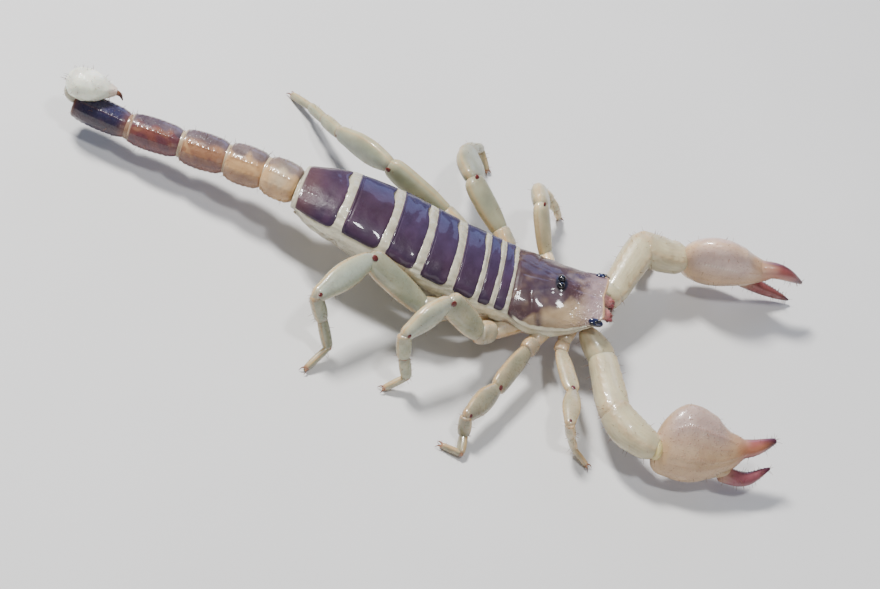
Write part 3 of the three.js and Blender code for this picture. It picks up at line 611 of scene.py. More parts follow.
def carapace_half(place):
    """Half width of the carapace: it swells a little, then narrows to the front."""
    swell = (CARAPACE_WIDEST - CARAPACE_REAR) * np.sin(np.pi * np.minimum(place / 0.5, 1))
    swell = swell + 0.4 * np.sin(np.pi * np.clip(place, 0, 1))
    return CARAPACE_REAR + swell - (CARAPACE_REAR - CARAPACE_FRONT) * np.maximum(place, 0) ** 1.8


def carapace_edge(place):
    """Height of the carapace's side edges, which dip in the middle and turn up in front."""
    dip = (CARAPACE_SAG + 0.4) * np.sin(np.pi * np.clip(place, 0, 1) ** 0.8)
    return CORNER_RISE * np.maximum(place, 0) ** 3 - dip


def carapace_arch(place):
    """Height of the carapace's arch over its side edges, lower towards the front."""
    return CARAPACE_ARCH * (1 - 0.42 * place**2) - carapace_edge(place) * (1 - 0.4 * place**4)


def on_carapace(place, share, inward=0.0):
    """A point of the carapace: an arch over its side edges, a notch in front, a mound at the eyes."""
    ahead = np.maximum(place, 0)
    notch = FRONT_NOTCH * ahead**6 * (1 - np.abs(share)) ** 2
    rounding = 0.9 * ahead**8 * np.abs(share) ** 6
    along = CARAPACE_LENGTH * place - notch - rounding
    angle = share * ARCH_SPAN
    mound = 0.55 * bell(place, EYE_PLACE, 0.13) * bell(share, 0, 0.16)
    reach = np.sin(angle) * (carapace_half(place) - inward)
    rise = np.cos(angle) ** 0.8 * (carapace_arch(place) - inward)
    return on_neck(along, reach, carapace_edge(place) + rise + mound)


# ---- back plates


def rolled(p, q):
    """1 inside a plate, falling to 0 in a quarter circle at its border; p and q run -1 to 1."""
    return np.sqrt(np.clip((1 - np.abs(p) ** 18) * (1 - np.abs(q) ** 26), 0, 1))


def plate_grid(rows, columns):
    """Shares from -1 to 1 both ways, closer together at the borders."""
    p = np.sin(np.pi / 2 * np.linspace(-1, 1, rows))
    q = np.sin(np.pi / 2 * np.linspace(-1, 1, columns))
    return np.meshgrid(p, q, indexing="ij")


def plate_sheets(surface, place, share, edge, depth, roll, relief):
    """Outer and inner sheet of a plate: they lie depth apart and meet at the depth edge."""
    outer = surface(place, share, edge * (1 - roll) - relief * roll)
    inner = surface(place, share, depth - (depth - edge) * (1 - roll))
    return outer, inner


def back_plate_tint(index, p, q):
    """Colours of a back plate.

    Indigo at both sides, much stronger on the left, where the extra is painted reflection of the sky,
    with more painted blue reflection over the left half and, on the front plates, a painted pale blue
    sheen over the middle and the left; warmer clouds in the middle, a brown rear rim, and a border as
    pale as the skin. The last plate fades from brown on the right to a pale rear band.
    """
    along, across = (p + 1) / 2, np.abs(q)
    plate, side, skin = tone("plate"), tone("plate_side_and_reflection"), tone("skin")
    # indigo sides are the shell's own colour; the much stronger indigo on the left is painted reflection of
    # the sky
    tint = blend(plate, side, step(0.15, 0.8, across) * np.where(q < 0, 0.35, 0.9))
    warm = step(0.1, 0.75, marbled(along * BACK_PLATES[index, 0], q * 6.5, 5.0, 70 + index))
    tint = blend(tint, plate * 1.5, warm * 0.45)
    # painted reflection: more blue of the sky over the left half
    tint = blend(tint, side * [0.85, 0.95, 1.3], 0.7 * step(0.0, 0.7, q))
    # painted sheen: a paler blue over the middle and the left of the front plates
    if index < BLUE_SHEEN_PLATES:
        tint = blend(tint, side * [1.8, 2.1, 1.9], 0.3 * step(-0.6, 0.0, q))
    rim = step(0.972, 0.995, p) * 0.4 + step(0.98, 0.998, across) * 0.1
    tint = blend(tint, tone("plate_rim"), rim)
    border = np.maximum(step(0.975, 0.995, -p), step(0.988, 0.998, across))
    tint = blend(tint, skin, 0.45 * border)
    if index == len(BACK_PLATES) - 1:
        tint = blend(tint, plate * 1.2, 0.8 * step(-0.6, 0.6, q))
        tint = blend(tint, tone("plate_rim"), 0.25 * step(0.3, 0.85, along))
        tint = blend(tint, skin, step(0.84, 0.89, p + 0.03 * across))
    return tint


def build_back_plate(index, material):
    """One back plate.

    Two sheets on the arched back, met in a rolled border. The front edge waves: the pale band
    before it is widest two fifths of the way out and at the rounded corners. The rear edge has a
    raised lip with a groove before it, and the last plate two keels on each side.
    """
    length = BACK_PLATES[index, 0]
    p, q = plate_grid(70, 150)
    along, across = (p + 1) / 2, np.abs(q)
    wave = 0.86 + 0.55 * bell(q, 0.46, 0.2) + 0.14 * bell(q, -0.5, 0.2) + across**12
    front = BANDS[index] / length * wave
    rear = 1 - 0.12 / length - 0.25 / length * across**16
    millimetres = along * length
    lip = 0.07 * bell(p, 0.93, 0.05)
    groove = 0.06 * bell(p, 0.84, 0.05)
    pits = 0.035 * bell(across, 0.3, 0.04) * bell(along, 0.3, 0.07)
    dents = 0.025 * marbled(millimetres, q * 7, 2.6, 40 + index)
    keels = 0
    if index == len(BACK_PLATES) - 1:
        bumps = 0.6 + 0.4 * np.sin(millimetres * 9)
        lines = bell(across, 0.28, 0.03) + bell(across, 0.55, 0.03)
        keels = 0.03 * bumps * step(0.45, 0.6, along) * lines
    relief = lip + keels - groove - pits + dents
    s = index + front + (rear - front) * along
    sheets = plate_sheets(on_back, s, q * 0.985, PLATE_EDGE, PLATE_DEPTH, rolled(p, q), relief)
    form = Form()
    form.add_sheet(*sheets, back_plate_tint(index, p, q), step(0.3, 0.95, along) * 0.35 + 0.05)
    name = f"back_plate_{index + 1}"
    place_piece(f"shell_{name}", form, material, [name])


# ---- skin


def skin_rows(s, front, joint):
    """Middle, left, up, half width and arch of each skin ring.

    They are the trunk's behind the waist and the carapace's before it, joined over a short way.
    """
    on_trunk = s >= 0
    point, left, up, half, arch = trunk_at(np.maximum(s, 0))
    neck = on_neck(CARAPACE_LENGTH * front, 0, carapace_edge(front))
    point = np.where(on_trunk[:, None], point, neck)
    left = np.where(on_trunk[:, None], left, NECK_LEFT)
    up = np.where(on_trunk[:, None], up, NECK_UP)
    half = np.where(on_trunk, half, carapace_half(front) * (1 - joint) + WAIST_WIDTH / 2 * joint)
    arch = np.where(on_trunk, arch, carapace_arch(front) * (1 - joint) + WAIST_ARCH * joint)
    return point, left, up, half, arch


def skin_bands(s):
    """Where the skin shows between two plates (0 to 1), how it swells there, and its creases."""
    on_trunk = s >= 0
    index = np.clip(np.floor(s).astype(int), 0, len(BACK_PLATES) - 1)
    length = BACK_PLATES[index, 0]
    place = np.where(on_trunk, s - index, 1.0)
    band = np.array(BANDS)[index] / length
    behind = step(1 - 0.75 / length, 1 - 0.35 / length, place)
    before = 1 - step(0.95, 1.5, place / band)
    shown = np.where(on_trunk, np.maximum(before, behind), bell(s, 0, 0.03))
    swell = np.sin(np.pi * np.clip(place / (band * 1.4), 0, 1)) ** 0.7 * shown
    crease = np.where(on_trunk, -0.35 * (bell(place, 0.0, 0.1) + bell(place, 1.0, 0.1)), 0)
    return shown, swell, crease


def skin_tint(s, sine, shown, deep):
    """Colours of the skin.

    Painted shade darkens the folds, the skin under the plates and the lower flanks, and painted light
    brightens the flanks and the side edges; pale brown under the belly, and pink in front under the jaws.
    """
    on_trunk = (s >= 0)[:, None]
    # painted shade in the folds
    tint = blend(tone("skin"), tone("skin_painted_shade"), deep * 0.55)
    # painted shade low on the flanks
    tint = blend(tint, tone("skin_painted_shade") * [0.95, 0.98, 1.05], 0.4 * step(0.15, 0.5, -sine) * on_trunk)
    # painted light on the flanks just below the side edges
    tint = tint * (1 + 0.14 * bell(sine, -0.2, 0.35) * on_trunk)[..., None]
    # painted highlight along the side edges, broader under the carapace's sides
    side_highlight = np.where(on_trunk, bell(sine, 0.0, 0.16), bell(sine, -0.15, 0.4))
    tint = blend(tint, tone("skin") * 1.62, 0.9 * side_highlight)
    # painted shade on the skin hidden under the plates
    tint = blend(tint, tone("skin_painted_shade"), (1 - shown)[:, None] * step(0.0, 0.25, sine) * 0.6)
    tint = blend(tint, tone("belly"), step(0.55, 0.9, -sine))
    jaws = step(0.06, 0.3, -sine) * step(0.2, -0.15, s)[:, None]
    return blend(tint, tone("jaw") * 0.9, 0.7 * jaws)


def build_skin(material):
    """The trunk's soft skin as one closed surface from under the carapace to the tail.

    Each ring is an arch above the side edges and a flattened oval below them. It stands just
    under the plates, swells out in the bands between them, and folds along the sides. The folds
    are a soft irregular field and a wave that runs across it.
    """
    s = np.unique(np.concatenate([-1 + clustered(90)[:-8], np.linspace(0.0, 7.02, 300)]))
    angle = around(200)
    cosine, sine = np.cos(angle)[None, :], np.sin(angle)[None, :]
    sideways = np.abs(cosine)
    on_trunk = (s >= 0)[:, None]
    front = np.clip(-s, 0, 1) ** 0.95 * 0.93
    joint = step(-0.3, 0.0, s)
    point, left, up, half, arch = skin_rows(s, front, joint)
    shown, swell, crease = skin_bands(s)
    tail_end = step(6.6, 7.02, s)
    inset = np.where(s < 0, 0.95, 0.8 - 0.52 * shown - 0.2 * swell) + 0.15 * tail_end
    depth = np.where(s >= 0, belly_depth(s), 3.6 + 1.3 * joint - 1.6 * front)
    breadth = half[:, None] - np.where(on_trunk, 0.05, 0.12)
    bulge = np.where(on_trunk, 0.32, -0.9) * np.abs(sine) ** 0.8 * sideways**0.5
    bulge = bulge + crease[:, None] * sideways * step(0, 0.5, -sine)
    reach_low = np.sign(cosine) * sideways**0.62 * (breadth + bulge)
    reach = np.where(sine > 0, cosine * breadth, reach_low)
    rise_top = np.abs(sine) ** 0.8 * (arch - inset)[:, None]
    rise = np.where(sine > 0, rise_top, -np.abs(sine) ** 0.9 * depth[:, None])
    shrink = (1 - 0.18 * tail_end)[:, None]
    base = point[:, None] + left[:, None] * (reach * shrink)[..., None]
    base = base + up[:, None] * (rise * shrink)[..., None]

    fold = size_of("fold")
    side = bell(sine, -0.35, 0.3) * sideways**0.4
    soft = ripples(base * [0.25, 0.8, 1.3], 1.1, 3) * 0.6 + ripples(base * [0.5, 1, 1.6], 0.75, 4) * 0.15
    gaps = np.linalg.norm(np.diff(base, axis=1, prepend=base[:, -1:]), axis=-1)
    wrinkle = np.sin(3.2 * np.cumsum(gaps, axis=1) + ripples(base * [0.2, 1, 1], 3.0, 5))
    strength = 0.25 + side + 0.9 * shown[:, None] * (sine > 0)
    outward = unit(left[:, None] * cosine[..., None] + up[:, None] * sine[..., None])
    rings = base + outward * (fold * (soft * strength + 0.45 * wrinkle * side))[..., None]
    # how much darker the skin is painted: painted shade in the folds
    deep = step(0.2, -0.9, soft) * 0.4 + step(0.1, -0.9, wrinkle) * side
    form = Form()
    form.add_tube(rings, skin_tint(s, sine, shown, deep), 0.2 + 0.5 * side)
    place_piece("skin", form, material, ["trunk"])


# ---- carapace and eyes


def build_carapace(material):
    """The carapace: two sheets met in a rolled border, with furrows and a grained front.

    The furrows are a line along the middle, two curves that bend ahead from it to the sides,
    and a groove just inside the rear edge. The grain is many small rounded warts.
    """
    p, q = plate_grid(190, 230)
    place, across = (p + 1) / 2, np.abs(q)
    cloud = lambda *settings: marbled(place * CARAPACE_LENGTH, q * 8.2, *settings)
    middle = 0.09 * bell(q, 0, 0.02) * (1 - bell(place, EYE_PLACE, 0.1)) * step(0.04, 0.1, place)
    curve = 0.17 + 0.16 * across**1.6
    behind = 0.1 * bell(place, curve, 0.028) * between(0.15, 0.4, 0.66, 0.9, across)
    rear = 0.015 * bell(place, 0.055, 0.014) * (1 - step(0.85, 1, across))
    hollow = 0.22 * bell(q, 0, 0.09) * step(0.66, 1.0, place)
    ridge_line = 0.13 + 0.5 * np.clip(0.42 - place, 0, 1) + 0.25 * step(0.55, 0.9, place)
    grainy = step(0.52, 0.8, place) * 0.75 + 0.25 * step(0.55, 0.8, across)
    warts = np.clip(cloud(0.55, 11, 16) * cloud(0.42, 12, 16) * 2.2, 0, 1)
    relief = 0.07 * bell(across, ridge_line, 0.05) - middle - behind - rear - hollow
    relief = relief + 0.09 * warts * grainy + 0.05 * cloud(3.0, 13)
    lip = 0.1 * bell(across, 0.955, 0.03) + 0.06 * bell(place, 0.985, 0.012)
    edge = CARAPACE_DEPTH / 2
    sheets = plate_sheets(
        on_carapace, place * 0.99 + 0.01, q * 0.99, edge, CARAPACE_DEPTH, rolled(p, q), relief + lip
    )

    # a dark stain over the middle and the left side, a stripe along the curve and a streak in front; over the
    # left side's pale window the dark is painted reflection of the sky, where that side tilts away
    width = 0.4 + 0.8 * bell(place, 0.0, 0.2) - 0.5 * step(0.45, 0.75, place)
    # the second term spreads the dark over the left side: painted reflection over the pale window there
    dark = np.maximum(1 - step(0.0, 0.16, across - width), 0.9 * step(-0.45, -0.12, q))
    dark = dark * (1 - step(0.6, 0.88, place + 0.05 * cloud(2.0, 14) - 0.15 * step(0.2, 0.8, q)))
    streak = 0.6 * bell(q, 0.0, 0.1) * bell(place, 0.66, 0.1)
    stripe = 0.75 * bell(place, curve + 0.055, 0.05) * between(0.35, 0.6, 0.86, 0.93, across)
    stain = np.clip(dark + stripe + streak + 0.1 * cloud(1.7, 15), 0, 1)
    tint = blend(tone("window"), tone("brow"), step(0.6, 0.85, place + 0.12 * q))
    tint = blend(tint, tone("dome"), stain * 0.95)
    tint = blend(tint, tone("dome") * 1.5, 0.35 * step(0.2, 0.8, cloud(2.4, 16)) * stain)
    # painted reflection: lavender-blue of the sky along the left side
    left_sky_reflection = 0.45 * step(0.6, 0.9, q) * (1 - 0.3 * step(0.8, 1, place))
    tint = blend(tint, tone("plate_side_and_reflection") * [1.6, 1.9, 2.2], left_sky_reflection)
    tint = blend(tint, tone("plate_side_and_reflection") * 1.1, 0.45 * bell(place, 0.3, 0.2) * bell(across, 0.16, 0.16))
    tint = blend(tint, tone("brow") * 1.12, 0.6 * warts * grainy)
    border = step(0.865, 0.9, across + 0.012 * cloud(1.3, 17)) * step(0.04, 0.1, place)
    # the cream border's own colour, painted lighter than the skin: painted light on its downward-facing edge
    tint = blend(tint, tone("skin") * 1.45, border * (1 - 0.85 * step(0.8, 0.9, place)))
    tint = blend(tint, tone("leg_edge"), 0.65 * step(0.965, 0.985, place) + 0.5 * step(0.985, 0.997, across))
    black = 1 - step(0.55, 1.25, ((place - EYE_PLACE) / 0.072) ** 2 + (q / 0.16) ** 2)
    for side in SIDES.values():
        corner = ((place - 0.935) / 0.075) ** 2 + ((q - side * 0.84) / 0.12) ** 2
        black = black + 1 - step(0.7, 1.3, corner)
    black = np.clip(black, 0, 1)
    tint = blend(tint, tone("eye") * [1.6, 1.6, 2.4], black)
    form = Form()
    form.add_sheet(*sheets, tint, grainy * (1 - black))
    place_piece("shell_carapace", form, material, ["carapace"])


def build_eyes(material):
    """Two middle eyes, and three side eyes on a dark mound at each front corner, all polished."""
    for name, side in SIDES.items():
        form = Form()
        share = side * 0.76 * EYE_SPACING / CARAPACE_WIDEST / 1.45
        lens = on_carapace(EYE_PLACE, share) + NECK_UP * 0.12
        ball(form, lens, size_of("eye_radius"), tone("eye"), steps=22, sides=36, squash=(1, 1, 0.92))
        place_piece(f"eye_middle_{name}", form, material, [f"eye_median_{name}"])
        form = Form()
        mound = on_carapace(0.93, side * 0.82) - NECK_UP * 0.2
        slope = unit(NECK_UP + side * 0.75 * NECK_LEFT)
        beside = unit(np.cross(slope, NECK_AHEAD + side * 0.1 * NECK_LEFT))
        axes = [np.cross(beside, slope), beside, slope]
        shade = tone("eye") * [3.0, 3.5, 7.0]
        ball(form, mound, 1.0, shade, steps=26, sides=44, squash=(1.15, 0.62, 0.42), axes=axes)
        for place, share in SIDE_EYES:
            lens = on_carapace(place, side * 0.86) + NECK_UP * 0.02
            ball(form, lens, size_of("side_eye_radius") * share, tone("eye"), steps=16, sides=24)
        place_piece(f"eyes_side_{name}", form, material, [f"eyes_lateral_{name}"])


# ---- legs


def hip(side, pair):
    """Where a leg's thigh starts."""
    x, y, z = LEG_PAIRS[pair][0]
    return np.array([x, WAIST[1] + 0.4 + side * y, z])


def leg_joints(name, pair):
    """Joints of a leg from the hip to the end of the foot, above its sole."""
    lengths = LEG_PAIRS[pair][1]
    steps = STANCE[name][pair]
    joints = [hip(SIDES[name], pair)]
    for k in range(4):
        joints.append(joints[k] + heading(*steps[k]) * lengths[k])
    fall = np.degrees(np.arcsin((joints[4][2] - SOLE_HEIGHT) / lengths[4]))
    joints.append(joints[4] + heading(steps[4], -fall) * lengths[4])
    return joints


def leg_base(side, pair):
    """Inner and outer end of a leg's base under the carapace."""
    root = on_neck(COXA_ROOTS[pair], side * 2.0, -2.9)
    end = root + (hip(side, pair) - root) * 0.72 - UP * COXA_SAGS[pair]
    return root, end


FACE_LEAN = np.array([-0.1, -0.45, 0.55])  # the way the left legs' broad faces lean

# rows of [place, height above the line, depth below it, half thickness], as shares of the depth
HIP_ROWS = [
    [-0.1, 0.38, 0.38, 0.34], [0.25, 0.44, 0.43, 0.38], [0.7, 0.46, 0.45, 0.38], [1.25, 0.4, 0.4, 0.34],
]
THIGH_ROWS = [
    [-0.07, 0.3, 0.3, 0.25], [0.08, 0.37, 0.39, 0.27], [0.3, 0.46, 0.49, 0.29],
    [0.6, 0.49, 0.53, 0.295], [0.84, 0.485, 0.51, 0.29], [0.96, 0.45, 0.44, 0.27], [1.06, 0.4, 0.38, 0.25],
]
SHIN_ROWS = [
    [-0.06, 0.22, 0.24, 0.2], [0.1, 0.37, 0.36, 0.25], [0.35, 0.51, 0.5, 0.29],
    [0.58, 0.51, 0.48, 0.285], [0.86, 0.36, 0.34, 0.25], [1.06, 0.27, 0.26, 0.22],
]
SLENDER_ROWS = [
    [-0.08, 0.4, 0.4, 0.35], [0.12, 0.46, 0.45, 0.38], [0.45, 0.5, 0.48, 0.4],
    [0.85, 0.46, 0.44, 0.38], [1.05, 0.38, 0.36, 0.33],
]
# how much fatter than the rows a side's thighs and shins are; the left ones show broader faces
THIGH_GAINS = {"right": 1, "left": 1.15}
SHIN_GAINS = {"right": (1.04, 1.04, 1.04, 1.04), "left": (1.04, 1.42, 1.36, 1.18)}

# warmth of each pair's shell, the painted blue sheen on its shins, and painted light and shade that make its
# thighs and shins lighter or darker
LEG_WARMTH = (0.9, 0.55, 0.15, 0.0)
SHIN_BLUE_SHEEN = (0.1, 0.3, 0.8, 0.8)
THIGH_PAINTED_LIGHT = {"right": (1.07, 0.74, 1.08, 0.86), "left": (1.0, 1.5, 0.9, 0.96)}
SHIN_PAINTED_LIGHT = {"right": (0.93, 0.74, 1.2, 1.08), "left": (1.0, 1.15, 0.76, 0.93)}
# the hip piece: its own pinker tone, and lighter as painted light on a part in shade
HIP_PINK_AND_LIGHT = np.array([1.25, 1.12, 1.16])
LEG_AMBER = {"right": 0.75, "left": 0.4}


def add_segment(
    form, start, end, normal, rows, depth, paint,
    relief=None, bow=0.0, counts=(64, 44), ends=(0.07, 0.07), grain=0.0,
):
    """One limb segment: an oval section whose depth follows rows [place, high, low, thickness].

    paint(place, angle) gives the colours; each end closes in a quarter oval. A bow bends the
    line sideways in half a sine wave.
    """
    places = clustered(counts[0])
    rows = np.asarray(rows, float)
    along = rows[0, 0] + (rows[-1, 0] - rows[0, 0]) * places
    high, low, half = (eased(along, rows) * depth * capped(places, *ends)[:, None]).T
    path = straight(start, end, along)
    if bow:
        sideways = unit(np.cross(end - start, normal))
        path = path + sideways * (bow * np.sin(np.pi * np.clip(along, 0, 1)))[:, None]
    rings = rings_on(path, normal, half, high, low, counts[1], 0.92, relief)
    t, a = np.meshgrid(along, around(counts[1]), indexing="ij")
    form.add_tube(rings, paint(t, a), grain)


def leg_paint(first, last, seed, warm=0.0, shade=1.0, amber=0.75, blue_sheen=0.0):
    """Colours of a leg segment: a painted blue sheen on the broad sides, painted light that pales it towards
    the upper and lower edges, thin amber edges, tinted ends. shade scales the whole colour: painted light and
    shade, and on hip pieces and leg bases also a pink tint.
    """

    def paint(place, angle):
        edge = sum(bell(angle, turn, 0.17) for turn in (1.27, 1.87, 4.45, 4.97))
        cloud = np.sin(place * 9 + seed) * np.cos(angle * 2 + seed * 1.7)
        shell = shade * blend(tone("leg"), tone("leg_warm"), np.broadcast_to(warm, angle.shape))
        tint = blend(shell, shell * [0.72, 0.78, 0.8], 0.5 + 0.5 * cloud)
        # painted light: paler towards the upper and lower edges, as if shining through the thin shell
        tint = blend(tint, shell * [1.25, 1.2, 1.1], 0.6 * np.sin(angle) ** 4)
        # painted sheen: a bluish sheen on the broad sides
        tint = blend(tint, shell * [0.95, 1.06, 1.3], blue_sheen * np.cos(angle) ** 4)
        tint = blend(tint, tone("leg_edge"), edge * amber)
        tint = blend(tint, tone("joint"), first * (1 - step(-0.02, 0.1, place)))
        return blend(tint, tone("joint"), last * step(0.9, 1.0, place))

    return paint


def leg_relief(height, seed):
    """Two low keels along the upper edge and two along the lower, with tiny teeth, and a rim."""

    def relief(place, angle):
        teeth = 0.7 + 0.3 * np.sin(place * 90 + seed)
        upper = bell(angle, np.pi / 2 - 0.3, 0.09) + bell(angle, np.pi / 2 + 0.3, 0.09)
        lower = bell(angle, 1.5 * np.pi - 0.22, 0.09) + bell(angle, 1.5 * np.pi + 0.22, 0.09)
        window = between(0.08, 0.2, 0.86, 0.96, place)
        rim = 0.3 * bell(place, 0.945, 0.02)
        return height * ((upper * 0.8 + lower) * teeth * window + rim)

    return relief


def add_hinge_spots(form, joint, normal, ahead, reach, size):
    """Dark red hinge points, one on each face of a joint."""
    for side in (-1, 1):
        centre = joint + normal * side * reach
        axes = [ahead, np.cross(normal, ahead), normal]
        squash = (1.15, 0.95, 0.24)
        ball(form, centre, size, tone("condyle"), 0.2, squash, axes, steps=10, sides=16)


def leg_faces(side, ahead):
    """Which way the faces of a leg's hip piece, thigh and shin look.

    They are square to the bend between thigh and shin. On the left side the thigh's and the
    shin's also lean up and to the animal's right.
    """
    normal = unit(np.cross(ahead[0], ahead[1]))
    if side < 0:
        return normal, normal, normal
    leaned = unit(normal * np.sign(normal @ FACE_LEAN) + FACE_LEAN * 1.1)
    return normal, *[unit(leaned - way * (leaned @ way)) for way in ahead[:2]]


def leg_plan(name, pair):
    """What a leg's parts share: joints, directions, depths, seed and how they are coloured."""
    side = SIDES[name]
    joints = leg_joints(name, pair)
    ahead = [unit(joints[k + 1] - joints[k]) for k in range(5)]
    return SimpleNamespace(
        label=f"leg_{name}_{pair + 1}", seed=pair + (4 if side > 0 else 0), base=leg_base(side, pair)[1],
        joints=joints, ahead=ahead, faces=leg_faces(side, ahead), depths=LEG_PAIRS[pair][2],
        thick=THIGH_GAINS[name], fat=SHIN_GAINS[name][pair],
        warm=LEG_WARMTH[pair], amber=LEG_AMBER[name], blue_sheen=SHIN_BLUE_SHEEN[pair],
        # painted light and shade that lighten or darken this leg's thigh and shin
        shade=THIGH_PAINTED_LIGHT[name][pair], shin_painted_light=SHIN_PAINTED_LIGHT[name][pair],
    )


def build_thigh(leg, material):
    """A leg's first part: the short hip piece and the thigh, with hinge points at the knee."""
    form = Form()
    hip_face, face, _ = leg.faces
    first, knee = leg.joints[:2]
    depth = leg.depths[0]
    start = leg.base + (first - leg.base) * 0.1
    paint = leg_paint(0.0, 0.1, leg.seed, leg.warm, leg.shade * HIP_PINK_AND_LIGHT)
    add_segment(form, start, first, hip_face, HIP_ROWS, depth, paint, ends=(0.2, 0.2), counts=(40, 40))
    paint = leg_paint(0.15, 0.1, leg.seed, leg.warm, leg.shade, leg.amber)
    rows = np.multiply(THIGH_ROWS, [1, 1, 1, leg.thick])
    relief = leg_relief(0.05, leg.seed)
    add_segment(form, first, knee, face, rows, depth, paint, relief, ends=(0.13, 0.12))
    add_hinge_spots(form, knee - leg.ahead[0] * 0.1, face, leg.ahead[0], depth * 0.262, 0.12 + 0.09 * depth)
    place_shell(f"{leg.label}_thigh", form, material)


def build_shin(leg, material):
    """A leg's shin, broad and flat in its middle, with hinge points before its far end."""
    form = Form()
    knee, ankle = leg.joints[1:3]
    depth, way, face = leg.depths[1], leg.ahead[1], leg.faces[2]
    paint = leg_paint(0.1, 0.25, leg.seed + 1, leg.warm, leg.shin_painted_light, leg.amber, leg.blue_sheen)
    rows = np.multiply(SHIN_ROWS, [1, leg.fat, leg.fat, leg.fat])
    add_segment(form, knee, ankle, face, rows, depth, paint, leg_relief(0.04, leg.seed), ends=(0.1, 0.12))
    add_hinge_spots(form, ankle - way * 0.35, face, way, depth * 0.24, 0.09 + 0.06 * depth)
    place_shell(f"{leg.label}_shin", form, material)


def build_foot(leg, material):
    """A leg's three-part foot, with a soft ball in each joint and a pad under its end."""
    form = Form()
    aside = unit(np.cross(UP, leg.ahead[4]))
    for k, tints in ((2, (0.3, 0.4)), (3, (0.4, 0.5)), (4, (0.5, 0.9))):
        way, (start, end) = leg.ahead[k], leg.joints[k:k + 2]
        across = unit(aside - way * (aside @ way))
        paint = leg_paint(*tints, leg.seed + k, leg.warm + 0.3 * (k > 3), leg.shade, leg.amber)
        relief = leg_relief(0.03, k)
        fineness = dict(counts=(44, 32), ends=(0.1, 0.1))
        add_segment(form, start, end, across, SLENDER_ROWS, leg.depths[k], paint, relief, **fineness)
        if k < 4:
            ball(form, end, leg.depths[k + 1] * 0.4, tone("joint"), 0.1, steps=12, sides=20)
    sole = leg.joints[5] * [1, 1, 0] + UP * PAD_RADIUS
    ball(form, sole, PAD_RADIUS, tone("leg_edge"), 0.1, steps=10, sides=16)
    place_shell(f"{leg.label}_foot", form, material)


def build_claws(leg, material):
    """Two claws at a foot's end, each a horn that goes ahead, outwards and down."""
    form = Form()
    flat = unit(leg.ahead[4] * [1, 1, 0])
    beside = np.cross(UP, flat)
    radius = 0.17 * (1 - 0.85 * np.linspace(0, 1, 16) ** 1.3)
    for turn in (-1, 1):
        root = leg.joints[5] - flat * 0.1 + beside * 0.14 * turn
        middle = root + flat * 0.45 + beside * 0.22 * turn + UP * 0.16
        tip = root + flat * 0.95 + beside * 0.4 * turn - UP * 0.3
        add_horn(form, [root, middle, tip], beside, radius, 0.8, tone("joint"), tone("condyle") * 0.7, 12)
    place_piece(f"{leg.label}_claws", form, material, [])


def build_leg(name, pair, shell, claw):
    """One leg: hip piece and thigh, shin, three-part foot and two claws."""
    leg = leg_plan(name, pair)
    build_thigh(leg, shell)
    build_shin(leg, shell)
    build_foot(leg, shell)
    build_claws(leg, claw)


# ---- pincers


def arm_paint(seed):
    """Colours of an arm segment: ivory with fine streaks, amber keels and warmer ends."""

    def paint(place, angle):
        keel = np.abs(np.sin(2 * angle)) ** 10
        cloud = 0.5 + 0.5 * np.sin(place * 7 + seed) * np.cos(angle + seed)
        tint = blend(tone("arm"), tone("arm") * [0.86, 0.86, 0.84], cloud)
        streak = np.sin(angle * 15 + seed + 0.6 * np.sin(place * 11)) ** 6
        streak = streak * between(0.15, 0.35, 0.7, 0.85, place)
        tint = blend(tint, tone("arm") * 1.16, 0.45 * streak)
        tint = blend(tint, tone("hand_edge"), keel * 0.35)
        ends = 0.4 * (1 - step(0.0, 0.08, place)) + 0.35 * step(0.92, 1.02, place)
        return blend(tint, tone("hand_edge"), ends)

    return paint


def arm_relief(height, seed):
    """Four keels at the corners of the section, each a row of grains, and a rim at the end."""

    def relief(place, angle):
        corners = sum(bell(angle, (k + 0.5) * np.pi / 2, 0.11) for k in range(4))
        grains = 0.55 + 0.45 * np.sin(place * 75 + seed + angle * 3)
        window = between(0.06, 0.16, 0.82, 0.94, place)
        return height * (corners * grains * window + 0.4 * bell(place, 0.96, 0.02))

    return relief


def hand_axes(ahead, roll, side):
    """Direction across a hand's breadth, towards its fixed finger, and square to its face."""
    inward = -side * unit(np.cross(UP, ahead))
    broad = inward * np.cos(np.radians(roll)) + UP * np.sin(np.radians(roll))
    broad = unit(broad - ahead * (broad @ ahead))
    return broad, np.cross(broad, ahead)


def finger_line(root, tip, count=60):
    """A finger's middle line in the hand's plane: [ahead of the wrist, towards the fixed side]."""
    end = np.array([HAND + tip[0], tip[1]])
    middle = (root + end) / 2 + [0.4, tip[2]]
    return curve_through([root, middle, end], count)


# rows of [place, above, below, half thickness], in millimetres for the socket, then as shares
SOCKET_ROWS = [[0.2, 0.9, 0.9, 0.9], [0.45, 1.6, 1.6, 1.55], [0.75, 2.1, 2.05, 1.95], [1.3, 2.0, 2.0, 1.8]]
UPPER_ARM_ROWS = [
    [-0.12, 0.36, 0.36, 0.32], [0.1, 0.43, 0.42, 0.38], [0.4, 0.46, 0.45, 0.41],
    [0.8, 0.5, 0.48, 0.43], [0.98, 0.47, 0.46, 0.42], [1.2, 0.44, 0.44, 0.4],
]
FOREARM_ROWS = [
    [-0.26, 0.36, 0.36, 0.34], [0.05, 0.42, 0.42, 0.39], [0.42, 0.48, 0.47, 0.43], [0.66, 0.47, 0.44, 0.4],
]
# the right wrist leans to its outer side; the left one stays broad
WRIST_ROWS = {
    "right": [[0.86, 0.48, 0.33, 0.36], [0.97, 0.43, 0.24, 0.3], [1.1, 0.34, 0.19, 0.25]],
    "left": [[0.86, 0.44, 0.43, 0.4], [0.97, 0.37, 0.36, 0.35], [1.06, 0.29, 0.29, 0.29]],
}

